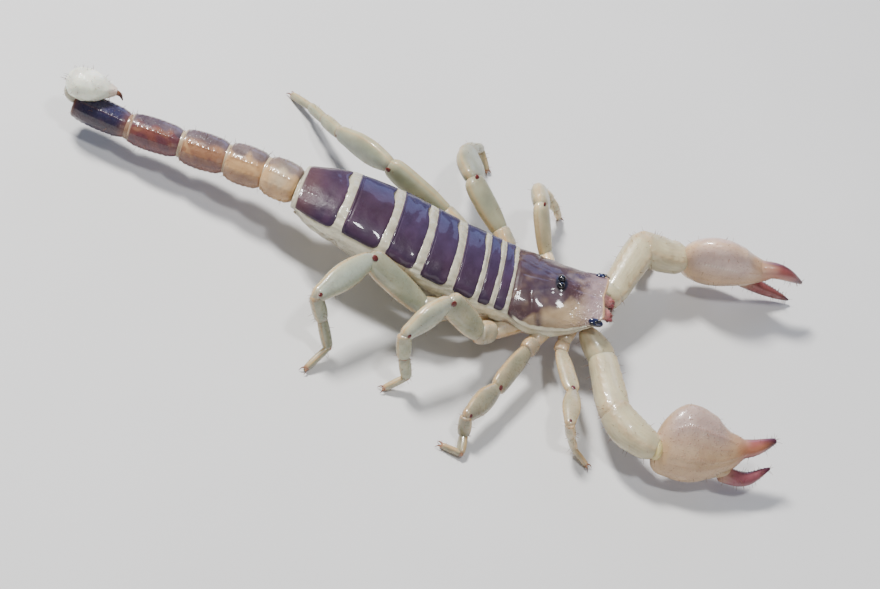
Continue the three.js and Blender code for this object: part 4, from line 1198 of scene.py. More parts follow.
# the hand narrows into its fixed finger: rows of [ahead, centre aside, half breadth, half depth]
PALM_ROWS = [
    [-0.3, -0.15, 2.1, 1.1], [0.6, 0.2, 3.7, 1.75], [3.25, 0.95, 5.6, 2.57], [5.85, 0.9, 5.86, 2.72],
    [8.6, 0.75, 5.05, 2.45], [10.4, 0.85, 4.2, 2.15], [11.9, 1.05, 3.2, 1.85], [13.2, 1.3, 2.25, 1.55],
]
HAND_KEELS = (
    (198, 0.8), (152, 1.3), (176, 0.35), (214, 0.4), (232, 0.8), (-18, 1.0), (22, 0.6), (-52, 0.7),
)
HAND_LINES = (152, 176, 196, 214, 232)  # directions of the hand's reddish keel lines, in degrees


def hand_relief(at, length):
    """Beaded keels on the palm, and on the fixed finger a row of teeth and a ledge beside it.

    at is each ring's distance ahead of the wrist, and length runs from the heel to the tip.
    """

    def relief(_, angle):
        palm_part = between(0.8, 2.5, 11.5, 13.5, at)
        beads = 0.72 + 0.28 * np.sin(at * 15 + angle * 12)
        keels = sum(strength * ridge(angle, degrees, 0.075) for degrees, strength in HAND_KEELS)
        teeth = np.clip(np.sin(at * 8.5), 0, 1) * bell(angle, 1.5 * np.pi, 0.22)
        teeth = teeth * between(13.2, 14.2, length - 1.2, length - 0.4, at)
        ledge = bell(angle, 1.5 * np.pi - 0.5, 0.2) * step(13, 14, at)
        return size_of("keel") * keels * beads * palm_part + 0.16 * teeth + 0.04 * ledge

    return relief


def hand_tint(side, at, turn, length):
    """Colours of a hand: rosy above, amber below and at the heel, dark red along the finger.

    Fine dots and keel lines stand on the palm. The left hand is painted lighter as painted light, and carries
    a painted highlight: a dotted white line of glints along one keel.
    """
    lower = between(2.5, 3.4, 5.0, 5.9, turn)
    # painted light: the left hand's colours are lighter
    upper, edge = (1.3, 1.2) if side > 0 else (1.02, 1.0)
    heel = 1 - step(0.3, 2.2, at)
    share = 0.85 * lower + 0.45 * bell(turn, np.pi / 2, 0.3) + 0.5 * heel
    tint = blend(tone("hand") * upper, tone("hand_edge") * edge, share)
    dots = marbled(at, turn * 4.5, 0.75, 21, 16) * marbled(at, turn * 4.5, 0.6, 22, 16)
    dots = step(0.35, 0.75, dots * 2)
    lines = sum(bell(turn, np.radians(degrees), 0.05) for degrees in HAND_LINES)
    lines = lines * (0.6 + 0.4 * np.sin(at * 15 + turn * 12)) * between(1.5, 3.5, 12.5, 14, at)
    tint = blend(tint, tone("finger"), 0.2 * lines + dots * 0.12 * (1 - step(12, 13, at)))
    tint = blend(tint, tone("hand_edge") * [0.95, 0.85, 0.8], 0.7 * step(9.5, 13.0, at))
    # painted highlight: a dotted white line of glints along the left hand's keel
    if side > 0:
        beads = (0.5 + 0.5 * np.sin(at * 15)) * between(2, 3, 7.5, 9, at)
        tint = blend(tint, tone("bulb"), 0.4 * bell(turn, np.radians(152), 0.06) * beads)
    tint = blend(tint, tone("finger"), step(12.0, 15.2, at - 0.9 * np.sin(turn)))
    biting = bell(turn, 1.5 * np.pi, 0.5) * step(12.6, 14.5, at)
    outer = bell(turn, np.radians(68), 0.55) * step(13.0, 15.0, at)
    dark = np.maximum(np.maximum(biting, outer * 0.8), step(length - 3.6, length - 0.6, at))
    tint = blend(tint, tone("finger_tip"), dark)
    pale = bell(turn, np.pi + 0.1, 0.55) * between(12.0, 13.5, 17, 19, at)
    return blend(tint, tone("hand_edge") * [0.95, 0.6, 0.42], 0.5 * pale)


def build_hand(name, wrist, axes, material):
    """A hand with its fixed finger: oval rings along a line that bends into the finger.

    A ball at its front corner is the knuckle that holds the moving finger.
    """
    side = SIDES[name]
    ahead, broad, normal = axes
    line = finger_line(np.array([10.4, 1.2]), np.array(ARM_POSES[name]["fixed"]))
    thick = 1.6 * (1 - 0.86 * np.linspace(0, 1, len(line)) ** 2.6)
    finger = np.column_stack([line, thick, thick * 0.85])[line[:, 0] > 14.4][::4]
    rows = np.concatenate([PALM_ROWS, finger])
    places = clustered(260)
    length = rows[-1, 0] - rows[0, 0]
    along = rows[0, 0] + length * places
    aside, breadth, depth = eased(along, rows).T
    cap = capped(places, 0.045, 0.012)
    follow = step(9, 15, along)
    path = wrist + ahead * along[:, None] + broad * (aside * follow)[:, None]
    relief = hand_relief(along[:, None], length)
    rings = rings_on(path, normal, depth * cap, breadth * cap, None, 140, 0.96, relief)
    # the heel leans: on the right hand its outer side reaches back, on the left its inner side
    lean = (0.11 if side < 0 else -0.16) * (1 - step(-0.3, 5.5, along))
    across = (rings - path[:, None]) @ broad
    rings = rings + broad * (aside * (1 - follow))[:, None, None]
    rings = rings + ahead * (lean[:, None] * across)[..., None]
    at, turn = np.meshgrid(along, around(140), indexing="ij")
    form = Form()
    form.add_tube(rings, hand_tint(side, at, turn, length), (1 - step(12.5, 14, at)) * 0.9)
    knuckle = wrist + ahead * 10.9 - broad * 2.3
    shade = tone("hand_edge") * 0.9
    ball(form, knuckle, 1.5, shade, 0.5, squash=(1.35, 0.85, 0.95), axes=axes, steps=20, sides=36)
    place_shell(f"arm_{name}_hand", form, material)


def build_finger(name, wrist, axes, material):
    """A hand's moving finger: a bent tapering horn with a toothed dark edge."""
    side = SIDES[name]
    ahead, broad, normal = axes
    line = finger_line(np.array([HAND - 2.0, -2.8]), np.array(ARM_POSES[name]["moving"]), 110)
    share = np.linspace(0, 1, len(line))
    thick = 1.3 * (1 - 0.86 * share**2.4) * capped(share, 0.08, 0.02)
    path = wrist + ahead * line[:, :1] + broad * line[:, 1:]
    bite, back = np.radians([85, 270] if side < 0 else [48, 215])

    def teeth(place, angle):
        window = between(0.2, 0.3, 0.88, 0.96, place)
        return 0.1 * np.clip(np.sin(place * 105), 0, 1) * bell(angle, bite, 0.18) * window

    rings = rings_on(path, normal, thick * 0.82, thick, None, 64, 0.94, teeth)
    at, turn = np.meshgrid(share, around(64), indexing="ij")
    # painted shade: the right moving finger is painted darker and bluer
    shade = tone("finger") * ([1, 1, 1] if side > 0 else [0.82, 0.85, 1.1])
    tint = blend(shade, tone("hand_edge") * 0.8, 0.55 * (1 - step(0.02, 0.3, at)))
    rims = np.maximum(bell(turn, bite, 0.5), 0.75 * bell(turn, back, 0.4))
    dark = np.maximum(rims * step(0.08, 0.25, at), step(0.72, 0.97, at))
    form = Form()
    form.add_tube(rings, blend(tint, tone("finger_tip"), dark), 0.15)
    place_shell(f"arm_{name}_finger", form, material)


def build_arm(name, shell, hand_shell, finger_shell):
    """One pincer: socket and upper arm, forearm, hand with its fixed finger, moving finger."""
    side = SIDES[name]
    pose = ARM_POSES[name]
    root = np.array(pose["root"])
    elbow = root + heading(*pose["upper"]) * UPPER_ARM
    wrist = elbow + heading(*pose["forearm"]) * FOREARM
    ahead = heading(*pose["hand"])

    form = Form()
    inner = on_neck(11.2, side * 2.6, -1.7)
    add_segment(form, inner, root, UP, SOCKET_ROWS, 1.0, arm_paint(1), arm_relief(0.05, 1), ends=(0.1, 0.3))
    add_segment(
        form, root, elbow, UP, UPPER_ARM_ROWS, UPPER_WIDTH, arm_paint(2), arm_relief(0.1, 2),
        counts=(110, 84), ends=(0.17, 0.17), grain=0.35,
    )
    place_shell(f"arm_{name}_upper", form, shell)

    form = Form()
    # a positive bow is to the right of the way the forearm points
    add_segment(
        form, elbow, wrist, UP, FOREARM_ROWS + WRIST_ROWS[name], FOREARM_WIDTH, arm_paint(4),
        arm_relief(0.08, 4), pose["bow"], counts=(100, 84), ends=(0.2, 0.07), grain=0.3,
    )
    # the wrist's wet folded membrane
    turned = unit(np.cross(UP, ahead))
    centre = wrist - turned * (0.5 if side < 0 else 0.0)
    axes = [ahead, turned, np.cross(ahead, turned)]
    shade = tone("arm") * [1.08, 1.0, 0.7]
    ball(form, centre, 1.75, shade, 0.6, squash=(0.66, 1.15, 0.95), axes=axes, steps=24, sides=36)
    place_shell(f"arm_{name}_forearm", form, shell)

    axes = [ahead, *hand_axes(ahead, pose["roll"], side)]
    build_hand(name, wrist, axes, hand_shell)
    build_finger(name, wrist, axes, finger_shell)


def build_jaw(name, material):
    """One jaw: a swollen body, a fixed and a moving fang, each a bent cone with a side tooth."""
    side = SIDES[name]
    at = lambda along, left, up: on_neck(along, side * left, up)
    form = Form()
    count, sides = 70, 56
    places = clustered(count)
    path = curve_through([at(11.4, 1.15, -0.2), at(13.6, 1.25, -0.15), at(15.7, 1.3, -0.6)], count, places)
    radius = (1.0 - 0.28 * places**3) * capped(places, 0.15, 0.16)
    bumps = lambda place, angle: 0.05 * np.sin(place * 40) * np.cos(angle * 9) * step(0.5, 0.8, place)
    rings = rings_on(path, NECK_LEFT, radius * 1.02, radius * 0.95, None, sides, 0.93, bumps)
    t, a = np.meshgrid(places, around(sides), indexing="ij")
    tint = blend(tone("jaw"), tone("jaw_front"), step(0.55, 1.0, t) * (0.6 + 0.4 * np.sin(a)))
    form.add_tube(rings, tint, 0.5 * step(0.4, 0.8, t))
    radius = 0.5 * (1 - 0.82 * np.linspace(0, 1, 26) ** 1.2)
    for left, length in ((0.85, 0.55), (1.65, 0.6)):
        root = at(15.1, left, -0.65)
        middle = at(15.1 + 1.25 * length, left + 0.1, -0.85)
        tip = at(15.1 + 1.5 * length, left - 0.25, -1.75)
        dark = tone("finger_tip") * 0.6
        add_horn(form, [root, middle, tip], NECK_LEFT, radius, 0.85, tone("jaw_front"), dark, 24, 0.1)
        ball(form, at(15.5, left, -1.35), 0.24, tone("finger_tip"), steps=10, sides=14)
    place_shell(f"jaw_{name}", form, material)


# ---- tail


def tail_joints():
    """Joints of the tail, the way back and the way to the right of each ring."""
    points, lefts, _, _, _ = TRUNK
    joints = [points[-1] - UP * 0.3 + lefts[-1] * 0.4]
    backs, rights = [], []
    for length, _, _, turn, fall in TAIL_RINGS:
        backs.append(-heading(turn, fall))
        rights.append(-heading(turn + 90, 0))
        joints.append(joints[-1] + backs[-1] * length)
    return joints, backs, rights


TAIL_ROWS = [
    [-0.02, 0.64], [0.05, 0.82], [0.12, 0.91], [0.35, 1.0],
    [0.68, 1.01], [0.86, 0.95], [0.96, 0.86], [1.01, 0.78],
]
# direction in degrees and strength of each keel: two above, then pairs down both sides
TAIL_KEELS = (
    (62, 1.1), (118, 1.1), (28, 0.8), (152, 0.8), (-8, 0.5), (188, 0.5),
    (-38, 0.8), (218, 0.8), (-72, 0.8), (252, 0.8),
)
TAIL_SKY_SHEEN = (0.75, 0.85, 0.85, 0.8, 0.15)  # how strong the painted sky reflection is on each ring's upper left side


def tail_relief(index, along):
    """Beaded keels with a furrow between the two upper ones, a hump and a rim at the rear."""
    length = TAIL_RINGS[index][0]
    height = size_of("keel") * (1.0 if index < 3 else 0.85)
    t = along[:, None]

    def relief(_, angle):
        beads = 0.6 + 0.4 * np.sin(t * length * 7.5)
        window = between(0.1, 0.2, 0.86, 0.94, t)
        keels = sum(strength * ridge(angle, degrees, 0.07) for degrees, strength in TAIL_KEELS)
        furrow = 0.9 * ridge(angle, 90, 0.2)
        hump = 0.8 * ridge(angle, 90, 0.7) * bell(t, 0.86, 0.08)
        return height * ((keels * beads - furrow) * window + hump + 0.8 * bell(t, 0.955, 0.02))

    return relief


def tail_tint(index, t, a):
    """Colours of a tail ring.

    They run from peach over red-brown to indigo down the tail. A grey painted reflection of the sky lies
    on the upper left side, plum on the right side, and the rear rim is paler.
    """
    marble = lambda size, seed: marbled(t * TAIL_RINGS[index][0], a * 2.6, size, seed + index)
    cloud = step(-0.5, 0.7, marble(3.2, 50))
    fine = step(-0.2, 0.8, marble(1.3, 80))
    first, second, last = tone("tail_first"), tone("tail_second"), tone("tail_last")
    plum = blend(second, last, 0.4 + 0.2 * cloud)
    left_side = step(66, 92, np.degrees(a + 0.12 * marble(2.2, 90))) * step(270, 215, np.degrees(a))
    right_side = step(44, 2, np.degrees(a + 0.15 * marble(1.6, 95))) + step(290, 330, np.degrees(a))
    if index == 0:
        tint = blend(first, blend(first, second, 0.35 * cloud), right_side * 0.8)
        tint = blend(tint, tone("skin"), 0.55 * bell(t, 0.45, 0.3) * (1 - right_side))
    elif index == 1:
        tint = blend(blend(first, second, 0.08 + 0.25 * cloud), plum * [1.2, 0.95, 1.2], right_side * 0.5)
    elif index < 4:
        peach, beside, plum_share = ((0.36, 0.6, 0.2), (0.04, 0.8, 0.8))[index - 2]
        peach = peach + 0.2 * (1 - cloud) * fine + 0.3 * step(0.7, 0.9, t) * fine
        tint = blend(second * [1.0, 0.92, 1.05], first, peach)
        tint = blend(tint, plum * [1.1, 0.95, 1.2], right_side * (beside + 0.2 * fine))
        tint = blend(tint, plum * [1.25, 0.95, 1.3], plum_share * (0.6 + 0.4 * cloud))
        tint = blend(tint, blend(second, first, 0.5 * fine), 0.6 * bell(a, 1.5 * np.pi, 0.7))
    else:
        tint = blend(last, plum, 0.3 * right_side * (1 - 0.5 * cloud))
        tint = blend(tint, second, 0.7 * bell(t, 0.04, 0.1) + 0.3 * step(0.8, 1.0, t))
        # painted sheen: a paler blue on the top of the last ring
        tint = blend(tint, last * [1.2, 1.4, 1.9], 0.6 * bell(a, np.radians(80), 0.5) * bell(t, 0.35, 0.25))
    # painted reflection: the sky's grey over the upper left side of each ring
    sky_sheen = blend(tone("tail_sky_sheen"), tone("tail_sky_sheen") * 0.7, cloud)
    tint = blend(tint, sky_sheen, left_side * TAIL_SKY_SHEEN[index])
    keel_line = ridge(a, 62, 0.06) + ridge(a, 118, 0.06)
    tint = blend(tint, second * 0.6, 0.3 * keel_line * between(0.1, 0.3, 0.8, 0.9, t))
    edge = blend(tone("skin"), first, 0.4 + 0.5 * fine) if index < 4 else second
    return blend(tint, edge, 0.6 * step(0.93, 0.975, t))


def add_collar(form, index, centre, back, across):
    """Soft collar that fills the joint behind a tail ring: a short fat tube with round ends."""
    _, width, height, _, _ = np.minimum(TAIL_RINGS[index], TAIL_RINGS[index + 1])
    collar = np.linspace(-0.5, 0.62, 26)
    bulge = 0.42 * np.sqrt(np.clip(1 - (collar / 0.8) ** 2, 0, 1))
    cap = capped(np.linspace(0, 1, 26), 0.15, 0.15)
    half, high = ((size * 0.35 + 0.8 * bulge) * cap for size in (width, height))
    rings = rings_on(centre + back * collar[:, None], across, half, high, None, 72, 0.95)
    shade = blend(tone("skin"), tone("tail_first"), 0.45) * 0.8
    form.add_tube(rings, shade if index < 3 else blend(shade, tone("tail_second"), 0.65), 0.15)


def build_tail_ring(index, material):
    """One ring of the tail: a barrel with rows of beaded keels, and a pale collar behind it."""
    joints, backs, rights = tail_joints()
    _, width, height, _, _ = TAIL_RINGS[index]
    places = clustered(120)
    along = -0.02 + 1.03 * places
    size = eased(along, TAIL_ROWS)[:, 0] * capped(places, 0.035, 0.03)
    path = straight(joints[index], joints[index + 1], along)
    relief = tail_relief(index, along)
    rings = rings_on(path, rights[index], width / 2 * size, height / 2 * size, None, 144, 0.93, relief)
    t, a = np.meshgrid(along, around(144), indexing="ij")
    form = Form()
    form.add_tube(rings, tail_tint(index, t, a), 0.5 * between(0.1, 0.2, 0.85, 0.95, t))
    if index < len(TAIL_RINGS) - 1:
        back = unit(backs[index] + backs[index + 1])
        add_collar(form, index, joints[index + 1], back, rights[index])
    place_piece(f"shell_tail_{index + 1}", form, material, [f"tail_{index + 1}"])


BULB_ROWS = [
    [-0.03, 0.46], [0.1, 0.8], [0.25, 0.98], [0.45, 1.0],
    [0.68, 0.82], [0.86, 0.52], [1.0, 0.3], [1.04, 0.24],
]


def build_bulb(bulb_material, sting_material):
    """Bulb and sting: a pear shape along a line on a short stem, and a curved thorn in front."""
    joint = tail_joints()[0][-1]
    ahead = heading(BULB["turn"], BULB["lift"])
    left = heading(BULB["turn"] + 90, 0)
    back = -heading(TAIL_RINGS[-1][3], 0)
    rear = joint + back * BULB["back"] + UP * BULB["rise"] + left * BULB["aside"]
    length = BULB["length"]
    form = Form()
    places = clustered(110)
    along = -0.03 + 1.07 * places
    size = eased(along, BULB_ROWS)[:, 0] * capped(places, 0.09, 0.02)
    path = rear + ahead * (along * length)[:, None]

    def bumps(place, angle):
        return 0.06 * np.clip(np.sin(place * 34) * np.sin(angle * 7), 0, 1) * (1 - step(0.75, 0.9, place))

    half, high = (BULB[key] / 2 * size for key in ("width", "height"))
    rings = rings_on(path, left, half, high, None, 96, 0.97, bumps)
    t, a = np.meshgrid(along, around(96), indexing="ij")
    cloud = step(-0.2, 0.8, marbled(t * 7, a * 2.2, 3.0, 61))
    tint = blend(tone("bulb"), tone("bulb") * [0.78, 0.76, 0.78], cloud * 0.8)
    # painted shade: the bulb's two sides are painted darker and greener, the left one more
    sides = 0.75 * step(0.3, 0.95, np.cos(a)) + 0.4 * step(0.5, 0.95, -np.cos(a))
    tint = blend(tint, tone("bulb") * [0.68, 0.73, 0.64], sides)
    tint = blend(tint, tone("jaw"), 0.5 * step(0.78, 1.0, t))
    form.add_tube(rings, tint, 0.35 * (1 - step(0.7, 0.85, t)))
    bend = joint + back * 1.3 + UP * 1.9
    stem = curve_through([joint + UP * 0.8 - back * 0.3, bend, rear + ahead * 1.2], 40)
    share = np.linspace(0, 1, 40)
    radius = 0.95 * capped(share, 0.2, 0.2)
    form.add_tube(rings_on(stem, left, radius * 1.1, radius * 0.85, None, 48), tone("skin") * 0.9, 0.1)
    place_shell("bulb", form, bulb_material)

    form = Form()
    root = rear + ahead * length * 0.9
    middle = rear + ahead * (length + 0.75) - UP * 0.35
    tip = rear + ahead * (length + 1.5) - UP * 1.55
    radius = 0.66 * (1 - 0.9 * share**0.9) * capped(share, 0.06, 0.03)
    shares = step(0.0, 0.7, share)
    dark = tone("sting") * 0.6
    add_horn(form, [root, middle, tip], left, radius, 1, tone("joint"), dark, 32, shares=shares)
    place_shell("sting", form, sting_material)


# ---- underside


def on_belly(s, turn, out):
    """A point under the trunk; turn runs across from the middle, in radians."""
    point, left, up, half, _ = trunk_at(s)
    reach = np.sign(turn) * np.abs(np.sin(turn)) ** 0.62 * half * (1 - 0.14 * step(6.4, 7, s))
    rise = -np.abs(np.cos(turn)) ** 0.9 * (belly_depth(s) + out)
    return point + left * reach[..., None] + up * rise[..., None]


BELLY_PLATES = ((1.7, 3.0), (3.1, 4.0), (4.1, 5.0), (5.1, 6.0), (6.1, 6.94))  # ends, in back plates
BREAST_START, BREAST_LENGTH = 0.2, 13.1
# the breast plate's rows of [ahead of the waist, half breadth, above, below]
BREAST_ROWS = [
    [0.2, 4.6, 1.6, 1.0], [1.5, 5.0, 1.9, 1.6], [7.0, 4.5, 1.8, 1.8],
    [12.2, 3.1, 1.4, 1.2], [13.3, 2.4, 0.9, 0.7],
]
# leg bases: their own pinker tone, and lighter as painted light on parts in shade
LEG_BASE_PINK_AND_LIGHT = np.array([1.4, 1.3, 1.35])


def build_belly_plates(material):
    """Five belly plates, each two sheets met in a rolled border; four have a pair of breath slits."""
    form = Form()
    for k, (first, last) in enumerate(BELLY_PLATES):
        p, q = plate_grid(40, 70)
        across = np.abs(q)
        s = first + (last - first) * (p + 1) / 2
        turn = q * np.radians(52)
        roll = rolled(p, q)
        slit = bell(across, 0.62, 0.06) * bell(p, 0.1, 0.1) if k < 4 else 0
        outer = on_belly(s, turn, 0.1 + 0.12 * roll - 0.12 * slit)
        inner = on_belly(s, turn, -0.15 - 0.1 * roll)
        tint = blend(tone("belly"), tone("belly") * 0.7, 0.7 * step(0.8, 1, p) + 0.4 * step(0.8, 1, across))
        if k < 4:
            tint = blend(tint, tone("skin") * 1.1, bell(across, 0.62, 0.05) * bell(p, 0.1, 0.09))
        form.add_sheet(outer, inner, tint, 0.15)
    place_piece("belly_plates", form, material, [])


def build_breast(material):
    """Breast plate, leg bases and the two-part cover between the combs, as closed surfaces."""
    form = Form()
    places = clustered(70)
    along = BREAST_START + BREAST_LENGTH * places
    half, high, low = (eased(along, BREAST_ROWS) * capped(places, 0.05, 0.05)[:, None]).T
    path = on_neck(along, 0, -1.4)
    form.add_tube(rings_on(path, NECK_LEFT, half, high, low, 80), tone("skin") * 0.9, 0.2)
    for side in SIDES.values():
        for pair, depth in enumerate(COXA_DEPTHS):
            root, end = leg_base(side, pair)
            rows = [
                [-0.05, 0.9, 0.9, 0.85], [0.35, depth * 1.12, depth * 1.12, 1.36],
                [0.8, depth * 0.95, depth * 0.95, 1.25], [1.12, depth * 0.72, depth * 0.72, 1.0],
            ]
            paint = leg_paint(0.1, 0.15, pair, 0.7, LEG_BASE_PINK_AND_LIGHT)
            add_segment(form, root, end, UP, rows, 1.0, paint, counts=(50, 44), ends=(0.1, 0.14), grain=0.2)
    axes = [NECK_AHEAD, NECK_LEFT, NECK_UP]
    shade = tone("belly")
    ball(form, on_neck(3.4, 0, -4.0), 1.0, shade, 0.2, squash=(1.5, 1.1, 0.45), axes=axes, steps=18, sides=30)
    for side in (-1, 1):
        centre = on_neck(0.9, side * 0.75, -4.35)
        ball(form, centre, 0.95, shade * 0.9, 0.2, squash=(1.0, 0.8, 0.4), axes=axes, steps=16, sides=26)
    place_shell("breast", form, material)


def build_comb(name, material):
    """One comb: a bent spine with a row of flat rounded teeth along its rear edge."""
    side = SIDES[name]
    points, lefts, ups, _, _ = TRUNK
    ahead = np.cross(lefts[1], ups[1])
    at = lambda back, aside, down: points[1] - ahead * back + lefts[1] * side * aside - ups[1] * down
    form = Form()
    path = curve_through([at(0.6, 0.8, 5.85), at(2.4, 3.2, 6.0), at(4.6, 5.4, 5.9)], 40)
    share = np.linspace(0, 1, 40)
    cap = capped(share, 0.08, 0.08)
    spine = rings_on(path, UP, 0.26 * cap, (0.7 - 0.25 * share) * cap, None, 24)
    form.add_tube(spine, tone("belly") * 1.05, 0.3)
    count = size_of("comb_teeth")
    share = np.linspace(0, 1, 12)
    cap = capped(share, 0.2, 0.3)
    for k in range(count):
        t = 0.06 + 0.9 * k / count
        root, tip = at(0.7 + 4.0 * t, 0.7 + 4.6 * t, 5.98), at(2.15 + 3.9 * t, 0.15 + 4.6 * t, 5.98)
        tooth = straight(root, tip, share)
        form.add_tube(rings_on(tooth, UP, 0.15 * cap, 0.17 * cap, None, 12), tone("skin") * 1.05, 0.1)
    place_shell(f"comb_{name}", form, material)


# ---- hairs


HAIR_CLEARANCE = 0.25  # a hair keeps its end this high above the floor


def points_of(mesh):
    """A mesh's points in the animal's own frame, and its normals."""
    total = len(mesh.vertices)
    found = []
    for key in ("co", "normal"):
        values = np.empty(total * 3, np.float32)
        mesh.vertices.foreach_get(key, values)
        found.append(values.reshape(-1, 3))
    return found[0] * 1000 - MIDDLE, found[1]


def build_hairs(name, pieces, per_piece, length, material, seed):
    """Short stiff hairs that stand on pieces' points and lean along the limbs.

    Each hair's patch in the map OFBake lies at its root's place, seen from above for the upper
    side and beside it for the lower side.
    """
    roots, ways = [], []
    for k, piece in enumerate(pieces):
        points, normals = points_of(piece.data)
        count = min(per_piece, len(points))
        pick = np.random.default_rng(seed + k).choice(len(points), count, replace=False)
        roots.append(points[pick])
        ways.append(normals[pick])
    roots, ways = np.concatenate(roots), np.concatenate(ways)
    clear = roots[:, 2] + ways[:, 2] * length > HAIR_CLEARANCE
    roots, ways = roots[clear], ways[clear]
    draws = scatter(len(roots), 4, seed)
    lean = ways + 0.7 * (draws[:, :3] - 0.5)
    lengths = length * (0.35 + 0.65 * draws[:, 3])
    thickness = size_of("hair_thickness")
    points, quads, triangles = bristles(roots - ways * 0.05, lean, lengths, thickness, 0.12, seed)
    form = Form()
    form.add(rows_of(points, tone("hair"), 0.0), quads, triangles)
    piece = place_piece(name, form, material, [])

    low, high = roots.min(0), roots.max(0)
    spot = (roots[:, :2] - low[:2]) / (high[:2] - low[:2]) * [0.96, 0.46] + [0.01, 0.01]
    spot[:, 1] += 0.5 * (ways[:, 2] < 0)
    corner = np.array([[0.0, 0.0], [0.0015, 0.0], [0.0008, 0.0015]])[np.arange(10) % 3]
    corner = corner + np.arange(10)[:, None] * 0.00015
    uv = (spot[:, None] + corner).reshape(-1, 2)
    corners = np.empty(len(piece.data.loops), np.int32)
    piece.data.loops.foreach_get("vertex_index", corners)
    layer = piece.data.uv_layers.new(name="OFBake")
    layer.uv.foreach_set("vector", uv[corners].astype(np.float32).ravel())


# each group of hairs: name, slot, start and end of its pieces' names, hairs on each, length share
HAIR_GROUPS = (
    ("leg_hairs", "leg", ("leg_", "foot_shell"), 44, 0.65),
    ("leg_upper_hairs", "leg", ("leg_", "_shell"), 16, 0.55),
    ("arm_hairs", "arm", ("arm_", "_shell"), 70, 0.8),
    ("tail_hairs", "tail_front", ("shell_tail", ""), 34, 0.8),
    ("bulb_hairs", "bulb", ("bulb_", "shell"), 60, 0.8),
    ("jaw_hairs", "jaw", ("jaw_", "shell"), 60, 0.6),
)


def pieces_named(start, end):
    """The pieces, but no solids and no hairs, whose names start and end in a given way."""
    found = [
        piece for piece in bpy.data.objects
        if piece.name.startswith(start) and piece.name.endswith(end)
        and "hairs" not in piece.name and piece.get("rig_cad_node") is None
    ]
    return sorted(found, key=lambda piece: piece.name)


# ---- materials


WART_GAP = 0.42  # mean distance between warts
RELIEF_DEPTH = 0.00012  # greatest depth of the bumps, in metres
GLOW_DEPTH = 0.0011  # how deep light sinks into the shell, in metres


def add_node(tree, kind, **values):
    """A node with some of its settings or inputs filled in."""
    node = tree.nodes.new(kind)
    for key, value in values.items():
        if key in node.inputs:
            node.inputs[key].default_value = value
        else:
            setattr(node, key, value)
    return node


def noise_of(tree, coords, millimetres, detail=3.0, roughness=0.55):
    """Noise whose main features are a given size."""
    scale = 1000.0 / millimetres
    node = add_node(tree, "ShaderNodeTexNoise", Scale=scale, Detail=detail, Roughness=roughness)
    tree.links.new(coords, node.inputs["Vector"])
    return node.outputs["Fac"]


def ranged(tree, value, low, high, new_low, new_high):
    """A value moved from one range to another."""
    node = add_node(tree, "ShaderNodeMapRange")
    for key, number in (("From Min", low), ("From Max", high), ("To Min", new_low), ("To Max", new_high)):
        node.inputs[key].default_value = number
    tree.links.new(value, node.inputs["Value"])
    return node.outputs["Result"]


def combined(tree, operation, first, second):
    """Sum or product of two values; the second may be a plain number."""
    node = add_node(tree, "ShaderNodeMath", operation=operation)
    tree.links.new(first, node.inputs[0])
    if isinstance(second, float):
        node.inputs[1].default_value = second
    else:
        tree.links.new(second, node.inputs[1])
    return node.outputs["Value"]


def times(tree, first, second):
    """Product of two values."""
    return combined(tree, "MULTIPLY", first, second)


def mixed(tree, share, first, second, mode="MIX"):
    """Two colours mixed by a share; either may be a plain colour."""
    node = add_node(tree, "ShaderNodeMix", data_type="RGBA", blend_type=mode)
    for socket, value in ((node.inputs[0], share), (node.inputs[6], first), (node.inputs[7], second)):
        if isinstance(value, (float, tuple)):
            socket.default_value = value
        else:
            tree.links.new(value, socket)
    return node.outputs[2]


def add_relief(tree, shader, height, strength, distance):
    """Bumps from a height, with their greatest depth in metres."""
    relief = add_node(tree, "ShaderNodeBump", Strength=strength, Distance=distance)
    tree.links.new(height, relief.inputs["Height"])
    tree.links.new(relief.outputs["Normal"], shader.inputs["Normal"])


def new_material(name):
    """An empty material, its nodes, its shader and the place on the piece."""
    material = bpy.data.materials.new(name)
    material.use_nodes = True
    tree = material.node_tree
    coords = add_node(tree, "ShaderNodeTexCoord").outputs["Object"]
    return material, tree, tree.nodes["Principled BSDF"], coords


